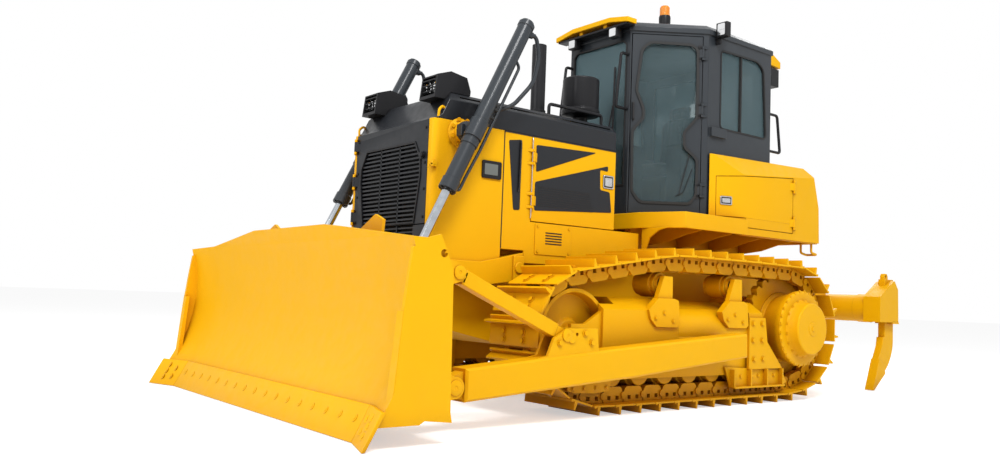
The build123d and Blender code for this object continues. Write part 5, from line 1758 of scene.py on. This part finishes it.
# ripper
boxHalf = 88
boxOutline = [  # y, z of the shank's box
    (2813, 665), (2813, 912), (3055, 1062), (3095, 1074), (3162, 990), (3168, 665),
]
armHalf = 20
shank = {"frontY": 3000, "rearY": 3165, "spread": 950, "thick": 70}
with building("ripper_frame"):
    crossBar(*ripper["beam"], ripper["beamRadius"], -shank["spread"] - 60, shank["spread"] + 60)
    for x in (-shank["spread"], 0, shank["spread"]):
        sidePlate(boxOutline, x - boxHalf, x + boxHalf)
        block(x - boxHalf - 6, x + boxHalf + 6, 3050, 3168, 650, 668)
        block(x - shank["thick"] / 2 - seat, x + shank["thick"] / 2 + seat, shank["frontY"] - seat,
            shank["rearY"] + seat, 600, 1100, cut=True)
    for sx in (-1, 1):
        # collar where the box meets the tube
        crossBar(*ripper["beam"], ripper["beamRadius"] + 7, sx * 740, sx * (shank["spread"] - boxHalf + 1))
    for sx in (1, -1):
        sidePlate([*around(ripper["pivot"], (-70, -60), (-70, 60), (0, 80)),
            *around(ripper["beam"], (-60, 112), (0, 100), (0, -110)),
            (ripper["pivot"][0] + 60, ripper["pivot"][1] - 80)], sx * (ripper["x"] - armHalf),
            sx * (ripper["x"] + armHalf))
        crossBar(*ripper["pivot"], 42, sx * (ripper["x"] - armHalf - 1), sx * (ripper["x"] + armHalf + 1), cut=True)
        for x in (sx * (ripper["x"] - 70), sx * (ripper["x"] + 45)):
            sidePlate([(2700, 860), (2725, 1040), (ripper["eye"][0] + 50, 1055), (2930, 860), (2840, 820)], x,
                x + sx * 25)
        block(sx * (ripper["x"] - 70), sx * (ripper["x"] + 70), 2740, 2900, 840, 885)
        crossBar(*ripper["eye"], 22, sx * (ripper["x"] - 70), sx * (ripper["x"] + 70))

tooth = [(2767, 4), (2795, 4), (3005, 160), (2985, 250), (2886, 306)]
lugY = 3045
with building("ripper_shanks"):
    for x in (-shank["spread"], 0, shank["spread"]):
        curve = arcThrough((shank["rearY"], 520), (3135, 345), (3030, 200), 8)
        sidePlate([(shank["rearY"], 1090)] + curve + [(2795, 30), (2886, 306), (2953, 428), (2970, 517),
            (shank["frontY"], 517), (shank["frontY"], 1090)], x - shank["thick"] / 2, x + shank["thick"] / 2)
        sidePlate(tooth, x - 44, x + 44)
        # lifting eye on the shank's head
        sidePlate([(lugY - 38, 1060), (lugY - 38, 1120), (lugY - 20, 1146), (lugY + 20, 1146), (lugY + 38, 1120),
            (lugY + 38, 1060)], x - 22, x + 22)
        crossBar(lugY, 1118, 13, x - 23, x + 23, cut=True)

base = Vector((0, *ripper["base"]))
ripperRun = Vector((0, ripper["eye"][0] - ripper["base"][0], ripper["eye"][1] - ripper["base"][1]))
ripperLength = ripperRun.length
ripperAxis = ripperRun.normalized()
ripperBarrelLength = 430
with building("ripper_barrels"):
    for sx in (1, -1):
        start = base + Vector((sx * ripper["x"], 0, 0))
        end = 40 + ripperBarrelLength
        alongAxis(start, ripperAxis, [(80, 0), (80, 26), (end, 26), (end, 56), (end - 46, 56), (end - 46, 50),
            (40, 50), (40, 0)])
        sleeveX(*ripper["base"], 26, 50, start[0] - 35, start[0] + 35)

with building("ripper_rods"):
    for sx in (1, -1):
        start = base + Vector((sx * ripper["x"], 0, 0))
        alongAxis(start, ripperAxis, [(360, 0), (360, 25), (ripperLength - 40, 25), (ripperLength - 40, 0)])
        sleeveX(*ripper["eye"], 34, 50, start[0] - 38, start[0] + 38)

print("body forms made")

# doors, inserts and panels

doorParts = {
    "upper": [(-1222, 1896), (-615, 1918), (-640, 1906), (-1218, 1695)],  # dark panels of the engine door, y and z
    "lower": [(-1224, 1621), (-480, 1829), (-478, 1785), (-566, 1790), (-559, 1633), (-455, 1625), (-431, 1464),
              (-1223, 1410)],
    "front": [(-1481, 1895), (-1361, 1913), (-1360, 1401), (-1420, 1396)],
    "screen": [(-1713, 1597), (-1545, 1597), (-1545, 1722), (-1713, 1722)],
    "latch": [(-531, 1650), (-417, 1650), (-417, 1755), (-531, 1755)],
    "access": [(-1209, 1090), (-853, 1090), (-853, 1318), (-1209, 1318)],
}
for hand, sx, side in sides:
    face = sidePlane(sx, hood["half"])
    door = f"engine_door_{side}"
    shape(f"engineDoor{hand}Panels", "hood", door, *((prism, face, rounded(doorParts[key], 16), -1, 3)
        for key in ("upper", "lower")), edge=1.5)
    bm = bmesh.new()
    for k in range(9):  # slots of the lower panel
        z = 1450 + k * 17
        prism(bm, face, rect(-1190, -640 - 4 * k, z, z + 5), 2, 5)
    piece(f"engineDoor{hand}Slots", bm, "core", door)
    shape(f"engineDoor{hand}LatchDish", "core", door, (prism, face, rounded(doorParts["latch"], 14), -1, 3.5))
    shape(f"engineDoor{hand}Latch", "latch", door, (frameStrip, face, rounded(doorParts["latch"], 14), -9, -1, 2, 7),
        (prism, face, rounded(rect(-512, -436, 1668, 1736), 10), 4, 9),
        (lathe, (sx * (hood["half"] + 8), -474, 1702), (sx, 0, 0), [(0, 0), (0, 15), (4, 15), (4, 8), (2, 8), (2, 0)],
        20), edge=1)
    shape(f"nosePanel{hand}Insert", "hood", "machine", (prism, face, rounded(doorParts["front"], 14), -1, 3), edge=1.5)
    shape(f"nosePanel{hand}Strap", "rubber", "machine", (tube,
        [(sx * 565, -1372, 1905), (sx * 572, -1374, 1880), (sx * 572, -1378, 1560), (sx * 566, -1384, 1530)], 7, 14,
        8))
    shape(f"display{hand}Frame", "black", "machine", (prism, face, rounded(doorParts["screen"], 12), -1, 12), edge=2)
    shape(f"display{hand}Screen", "screen", "machine", (prism, face, rounded(rect(-1695, -1580, 1622, 1700), 6), 11,
        14))
    shape(f"access{hand}Plate", "yellow", "machine", (prism, face, rounded(doorParts["access"], 12), -1, 6), edge=2)
    shape(f"access{hand}Louver", "black", "machine", *((prism, face, rect(-1110, -950, z, z + 8), 5, 8)
        for z in range(1170, 1251, 20)))
    bolts(f"access{hand}Bolts", "small", [(spot(face, y, z, 6), (sx, 0, 0), (0, 0, 1)) for y in (-1185, -877)
        for z in (1112, 1296)])
    # thin rods beside the door's hinges
    shape(f"hinge{hand}Rod", "latch", "machine", (tube, [(sx * 566, -1263, 1350), (sx * 571, -1263, 1362),
        (sx * 571, -1263, 1925), (sx * 566, -1263, 1940)], 4, 6, 8))
    # painted shadow: dark strips stand in for the shadow gap between the nose and the side panel
    shape(f"panel{hand}Seam", "core", "machine", (prism, face, rect(-1523, -1516, 1115, 1955), 0, 1.5),
        (prism, face, rect(-1520, -400, 1950, 1959), -1, 2.5))
print("doors dressed")

# grille, nose and lamps

shape("radiatorCore", "core", "machine", (prism, frontPlane(noseY + 60), rect(-499, 499, 1041, 1950), -6, 0))
shape("radiatorFins", "iron", "machine", *((prism, frontPlane(noseY + 54), rect(-480, 480, z, z + 2.5), 0, 4)
    for z in range(1262, 1833, 10)))
# the fixed part of the grille, below the door
lowBars = 5
bm = bmesh.new()
for sx in (-1, 1):
    prism(bm, frontPlane(noseY + 40), [(sx * x, z) for x, z in ((352, 1238), (338, 1085), (0, 1085), (0, 1045),
        (498, 1045), (498, 1238))], 0, 38)
for k in range(lowBars):
    z = 1095 + k * 30
    prism(bm, frontPlane(noseY + 32), rect(-352, 352, z, z + 13), 0, 22)
for x in (-130, 130):
    prism(bm, frontPlane(noseY + 38), rect(x - 6, x + 6, 1060, 1239), 0, 33)
piece("grilleLowPanel", bm, "hood", "machine", edge=2)
shape("grilleClamp", "yellow", "machine", (prism, sidePlane(1, 529), rounded(rect(-2132, -2108, 1634, 1650), 4), 0,
    50), (prism, sidePlane(1, 552), rounded(rect(-2132, -2096, 1622, 1662), 6), 0, 26), edge=2)
outline = mirrored(grilleOpening)
shape("grilleRim", "black", "grille_door", (frameStrip, frontPlane(noseY + 2), outline, 0, 14, 0, 7), edge=2)
shape("grilleKnob", "black", "grille_door", (lathe, (445, noseY - 12, 1713), (0, -1, 0),
    [(0, 0), (0, 20), (10, 20), (12, 15), (12, 0)], 24))
bolts("grilleBolts", "small", [(spot(frontPlane(noseY + 2), x, z, 0), (0, -1, 0), (0, 0, 1)) for x in (-465, 465)
    for z in (1290, 1480, 1660, 1900)], "black", "grille_door")
for hand, sx, side in sides:
    shape(f"pod{hand}Lamps", "silver", "machine", *((lathe, (sx * x, -2036, 2200), (0, -1, 0),
        [(0, 0), (0, 44), (18, 44), (18, 36), (10, 30), (10, 0)], 24) for x in (354, 461)))
    # lifting hook at the nose's top corner
    shape(f"nose{hand}Hook", "yellow", "machine", (tube, [(sx * 548, -2085, 1962), (sx * 556, -2085, 2020),
        (sx * 548, -2052, 2050), (sx * 548, -2020, 2020), (sx * 548, -2020, 1970)], 9, 18, 10))
    # clamp round the cylinder's trunnion
    shape(f"trunnion{hand}Clamp", "slate", f"lift_barrel_{side}",
        *((prism, sidePlane(sx, 625), rounded(rect(-1908 + dy - 14, -1908 + dy + 14, 1838, 1922), 8), 0, 60)
        for dy in (-62, 62)), edge=3)
    heads = outward(sx, hood["half"] + 31, [(lift["pivot"][0] + 90 * math.cos(t), lift["pivot"][1] + 90 * math.sin(t))
        for t in (math.pi * (k + 0.5) / 4 for k in range(8))])
    bolts(f"trunnion{hand}Bolts", "plain", heads)
print("nose dressed")

# lift cylinders

for hand, sx, side in sides:
    pivot = Vector((sx * lift["x"], *lift["pivot"]))
    body = f"lift_barrel_{side}"
    shape(f"barrel{hand}Straps", "slate", body, *((lathe, tuple(pivot + liftAxis * along), tuple(liftAxis),
        [(-12, 55), (-12, 60), (12, 60), (12, 55), (-12, 55)], 36) for along in (96, 116)), edge=1.5)
    heads = []
    for k in range(8):
        t = math.pi * k / 4
        u = Vector((1, 0, 0))
        point = pivot + liftAxis * lift["down"] + (u * math.cos(t) + liftRear * math.sin(t)) * 47
        heads.append((point * mm, tuple(liftAxis), (1, 0, 0)))
    bolts(f"barrel{hand}Bolts", "small", heads, "slate", body)
    shape(f"barrel{hand}Wiper", "rubber", body, (lathe, tuple(pivot + liftAxis * (lift["down"] - 1)), tuple(liftAxis),
        [(0, 33), (0, 40), (9, 38), (9, 33), (0, 33)], 32))
    # hoses from the barrel's back to the nose, over the trunnion joint
    for k, (drop, reach) in enumerate(((-215, 0), (-150, 34))):
        start = Vector(besideBarrel(pivot, drop, 66))
        ends = Vector((sx * (600 - reach * 0.3), -1770 + reach, 2055))
        middle = (start + ends) / 2 + Vector((sx * -20, 90, 60))
        hose = shape(f"barrel{hand}Hose{k + 1}", "rubber", None,
            (tube, [tuple(start - liftRear * 20), tuple(start + liftRear * 30), tuple(middle),
            tuple(ends + Vector((sx * 30, 20, 60))), tuple(ends + Vector((sx * -45, 0, 0)))], 12, 60, 12, 7))
        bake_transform(hose)
    bm = bmesh.new()  # steel pipe that loops from the top cap down to the nose
    top = pivot + liftAxis * (-lift["up"] + 70) + liftRear * 50
    foot = Vector((sx * 640, -1650, 2075))
    tube(bm, [tuple(top), tuple(top + Vector((0, 70, 0))), (sx * 742, -1380, 2480), (sx * 735, -1420, 2290),
        (sx * 690, -1560, 2110), tuple(foot), (sx * 560, -1690, 2080)], 15, 60, 12, 7)
    pipe = piece(f"barrel{hand}TopPipe", bm, "slate", None)
    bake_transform(pipe)
    shape(f"barrel{hand}Port", "slate", body, (lathe, tuple(top + Vector((0, -14, 0))), (0, 1, 0),
        [(0, 0), (0, 24), (46, 24), (46, 17), (70, 17), (70, 0)], 20), edge=1.5)
print("cylinders dressed")

# blade, arms and undercarriage bolts

edgeFace = Vector((0, -0.882, 0.472)).normalized()
places = []
for k in range(17):
    x = -1330 + 2660 * k / 16
    places.append((at(x, -3028.5, 115), tuple(edgeFace), (1, 0, 0)))
for sx in (-1, 1):
    for out, rises in ((90, (70, 130)), (180, (60, 105, 150))):
        for z in rises:
            base = Vector((sx * (blade["fold"] + out * 0.946), -3028.5 - out * 0.326 + (z - 115) * 0.536, z))
            places.append((base * mm, tuple(edgeFace), (1, 0, 0)))
bolts("edgeBolts", "plow", places, "yellow", "blade")

for hand, sx, side in sides:
    places = []
    for count, radius, x in ((28, 308, 1192), (18, 228, 1203)):
        for k in range(count):
            t = 2 * math.pi * (k + 0.5) / count
            places += outward(sx, x, [(sprocket["y"] + radius * math.cos(t), sprocket["z"] + radius * math.sin(t))])
    bolts(f"finalDrive{hand}Bolts", "plain", places)
    shape(f"finalDrive{hand}Cap", "yellow", "machine", (lathe, (sx * 1299, sprocket["y"], sprocket["z"]), (sx, 0, 0),
        [(0, 0), (0, 60), (6, 56), (6, 22), (12, 20), (12, 0)], 32), edge=1)
    places = outward(sx, frameOuter + 24, ((625, 635), (745, 635), (625, 500), (745, 500), (640, 350), (760, 350)))
    bolts(f"rearPlate{hand}Bolts", "large", places)
    places = outward(sx, frameOuter + 20, [(y + dy, z) for y, drop in carrier["places"]
        for dy, z in ((-150, 660), (40, 640), (-60, 700))])
    bolts(f"carrier{hand}Bolts", "plain", places)
    places = outward(sx, trackX + 184, [(y, 180) for y in (-1300, -1200, -1090, -990)])
    places += outward(sx, frameOuter + 2, [(y, 215) for y in (430, 500, 650, 730, 860, 940)])
    bolts(f"guard{hand}Bolts", "plain", places)
    places = outward(sx, armOuter - 14, ((-1645, 500), (-1430, 560), (-1370, 500)))
    bolts(f"brace{hand}Bolts", "large", places, "yellow", "blade")
    shape(f"pin{hand}Caps", "yellow", "blade", *((lathe, (sx * x, y, z), (sx, 0, 0),
        [(-2, 0), (-2, radius), (7, radius), (9, radius - 4), (9, 12), (6, 10), (6, 0)], 28)
        for y, z, radius, x in ((*arm["knuckle"], 44, armOuter - 8), (*brace["pin"], 40, armOuter - 14),
        (*brace["top"], 40, armOuter - 8))), edge=1)
    shape(f"carrier{hand}Seals", "black", "machine", *((lathe, (sx * (trackX + 124.5), y, carrierZ - drop),
        (sx, 0, 0), [(0, 33), (0, 56), (8, 56), (8, 33), (0, 33)], 32) for y, drop in carrier["places"]))
print("undercarriage dressed")

# cab

sealLook = {"inner": -4, "outer": 10, "proud": 4}  # rubber round the windows, millimetres
for hand, sx, side in sides:
    body = f"cab_door_{side}"
    shape(f"cabDoor{hand}Seal", "rubber", body, (frameStrip, doorPlane(sx), rounded(doorWindow, 30), -3, 19, -2, 9.5))
    shape(f"sideWindow{hand}Seal", "rubber", "machine", (frameStrip, sidePlane(sx, cab["half"]),
        rounded(sideWindow, 45), sealLook["inner"], sealLook["outer"], -12, sealLook["proud"]),
        (prism, sidePlane(sx, cab["half"]), rect(912, 928, 2285, 2950), -22, 3))
    # handle in its dish
    plane = doorPlane(sx)
    shape(f"cabDoor{hand}Handle", "belt", body, (tube, [spot(plane, 636, 2440, 2) / mm,
        spot(plane, 636, 2440, 26) / mm, spot(plane, 634, 2300, 26) / mm, spot(plane, 634, 2300, 2) / mm], 8, 12, 10))
    shape(f"cabDoor{hand}Plates", "belt", body, *((prism, plane, rounded(rect(66, 92, z - 70, z + 70), 6), 0, 7)
        for z in doorHinges), edge=1)
    places = [(spot(plane, 79, z + dz, 7), tuple(plane[3]), (0, 0, 1)) for z in doorHinges for dz in (-45, 45)]
    bolts(f"cabDoor{hand}Bolts", "small", places, "black", body)
    # wiper on the door's glass
    shape(f"cabDoor{hand}Wiper", "belt", body, (tube, [spot(plane, 120, 1900, -12) / mm,
        spot(plane, 190, 1700, -12) / mm, spot(plane, 261, 1667, -12) / mm], 4, 20, 8),
        (prism, plane, [(118, 2110), (128, 2110), (232, 1690), (222, 1690)], -18, -11))
    bm = bmesh.new()
    for low, across, rise, tall in ((lampFrontY, 255, 3048, 68), (540, 843, 3106, 100)):
        lampFace = planeOf((sx * across, low, rise), (1, 0, 0), (0, 0, 1), (0, -1, 0))
        prism(bm, lampFace, rounded(rect(-38, 38, -tall / 2, tall / 2), 10), -1, 5)
        prism(bm, lampFace, rect(-30, 30, -4, 4), 4, 7)
    lathe(bm, (sx * 510, 1742, 2950), (0, 1, 0), [(0, 0), (0, 58), (5, 58), (5, 50), (2, 42), (2, 0)], 28)
    piece(f"cabLamp{hand}Faces", bm, "silver", "machine")
bm = bmesh.new()
for y, outline in ((cabFrontY, mirrored(frontWindow)), (cab["rearY"], mirrored(rearWindow))):
    facing = frontPlane(y) if y < 0 else rearPlane(y)
    frameStrip(bm, facing, outline, -4, 10, -10, 4)
piece("endWindowSeals", bm, "rubber", "machine")
shape("frontWiper", "belt", "machine", (tube, [(40, cabFrontY + 12, 1800), (40, cabFrontY + 2, 1830),
    (180, cabFrontY + 2, 2440)], 6, 20, 8), (prism, frontPlane(cabFrontY + 10),
    [(172, 2150), (186, 2150), (196, 2780), (182, 2780)], 0, 8))
shape("beaconBase", "black", "machine", (lathe, (300, 430, 0), (0, 0, 1),
    [(3149, 0), (3149, 30), (3205, 26), (3212, 50), (3300, 53), (3318, 50), (3318, 0)], 32))
# painted shade: a black sheet under the front visor stands in for the shade of its underside
shape("visorSoffit", "black", "machine", (prism, topPlane(0), rect(-430, 430, -180, cabFrontY - roofLip), 3084, 3102),
    edge=4)
print("cab dressed")

# operator's seat and console

seatLook = {"pressure": 4.0, "cap": 0.012}  # of the cloth that rounds the pads; cap in metres


def cushion(name, size, place, lean, look):
    # a crowned pad that pulls in between its corners
    width, depth, thick = (v * mm for v in size)
    bm = bmesh.new()
    bmesh.ops.create_grid(bm, x_segments=28, y_segments=28, size=0.5)
    top = [v for v in bm.verts]
    extra = bmesh.ops.extrude_face_region(bm, geom=bm.faces[:])["geom"]
    raised = [v for v in extra if isinstance(v, bmesh.types.BMVert)]
    for group, sign in ((top, -1), (raised, 1)):
        for v in group:
            u, w = v.co.x * 2, v.co.y * 2
            crown = (1 - abs(u) ** 4) * (1 - abs(w) ** 4)
            pull = 1 - 0.05 * (1 - u * u) * abs(w) ** 6 - 0.05 * (1 - w * w) * abs(u) ** 6
            round4 = (max(abs(u), 1e-6) ** 6 + max(abs(w), 1e-6) ** 6) ** (1 / 6)
            square = max(abs(u), abs(w), 1e-6) / max(round4, 1e-6)
            rise = 0.28 + 0.72 * max(crown, 0) ** 0.4
            height = sign * thick * 0.5 * rise * (0.75 if sign < 0 else 1.0)
            for seam in (-0.36, 0.36):  # sewn channels
                if sign > 0:
                    height -= 0.011 * math.exp(-((u - seam) / 0.035) ** 2) * max(crown, 0)
            if sign > 0:
                height -= 0.006 * math.exp(-(w / 0.04) ** 2) * max(crown, 0)
            v.co = Vector((u * 0.5 * width * square * pull, w * 0.5 * depth * square * pull, height))
    bmesh.ops.recalc_face_normals(bm, faces=bm.faces)
    turn = Matrix.Translation(Vector(place) * mm) @ Matrix.Rotation(math.radians(lean), 4, "X")
    bm.transform(turn)
    made = looseObject(bm, name)
    puff(made)
    soft = made.modifiers.new("smooth", "SUBSURF")
    soft.levels = soft.render_levels = 1
    made.data.shade_smooth()
    keep(name, made, look, "machine")
    return made


def puff(made):
    # cloth under pressure rounds the pad; its movement is capped
    before = [v.co.copy() for v in made.data.vertices]
    cloth = made.modifiers.new("cloth", "CLOTH")
    cloth.settings.use_pressure = True
    cloth.settings.uniform_pressure_force = seatLook["pressure"]
    cloth.settings.effector_weights.gravity = 0
    cloth.settings.quality = 6
    scene = bpy.context.scene
    for step in range(1, 21):
        scene.frame_set(step)
    ready = made.evaluated_get(bpy.context.evaluated_depsgraph_get())
    after = [v.co.copy() for v in ready.data.vertices]
    made.modifiers.remove(cloth)
    for v, old, new in zip(made.data.vertices, before, after):
        move = new - old
        if move.length > seatLook["cap"]:
            move = move.normalized() * seatLook["cap"]
        v.co = old + move
    scene.frame_set(1)


seatPads = [
    cushion("seatBase", (470, 470, 125), (0, 740, 1972), 0, "fabric"),
    cushion("seatBack", (460, 560, 110), (0, 1010, 2270), 84, "fabric"),
    cushion("seatHead", (250, 120, 80), (0, 1015, 2572), 84, "fabric"),
]
for pad in seatPads:
    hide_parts("operator_seat")
for hand, sx, side in sides:
    shape(f"armRest{hand}", "console", "machine", (prism, sidePlane(sx, 375), rounded(rect(560, 880, 2150, 2185), 14),
        0, 60), edge=8)
    shape(f"lever{hand}", "belt", "machine", (lathe, (sx * 400, 560, 2150), (0, -0.15, 1),
        [(0, 0), (0, 30), (20, 22), (30, 12), (110, 12), (120, 24), (165, 26), (180, 16), (182, 0)], 20))
# latch of the tank's door
slant = planeOf((785, 490, 0), (115, 320, 0), (0, 0, 1), (320, -115, 0))
shape("tankDoorLatchDish", "core", "tank_door", (prism, slant, rounded(rect(108, 222, 1616, 1690), 12), -1, 3.5))
shape("tankDoorLatch", "latch", "tank_door", (frameStrip, slant, rounded(rect(108, 222, 1616, 1690), 12), -9, -1, 2,
    7), (prism, slant, rounded(rect(126, 204, 1634, 1672), 8), 4, 9), edge=1)
print("cab furnished")
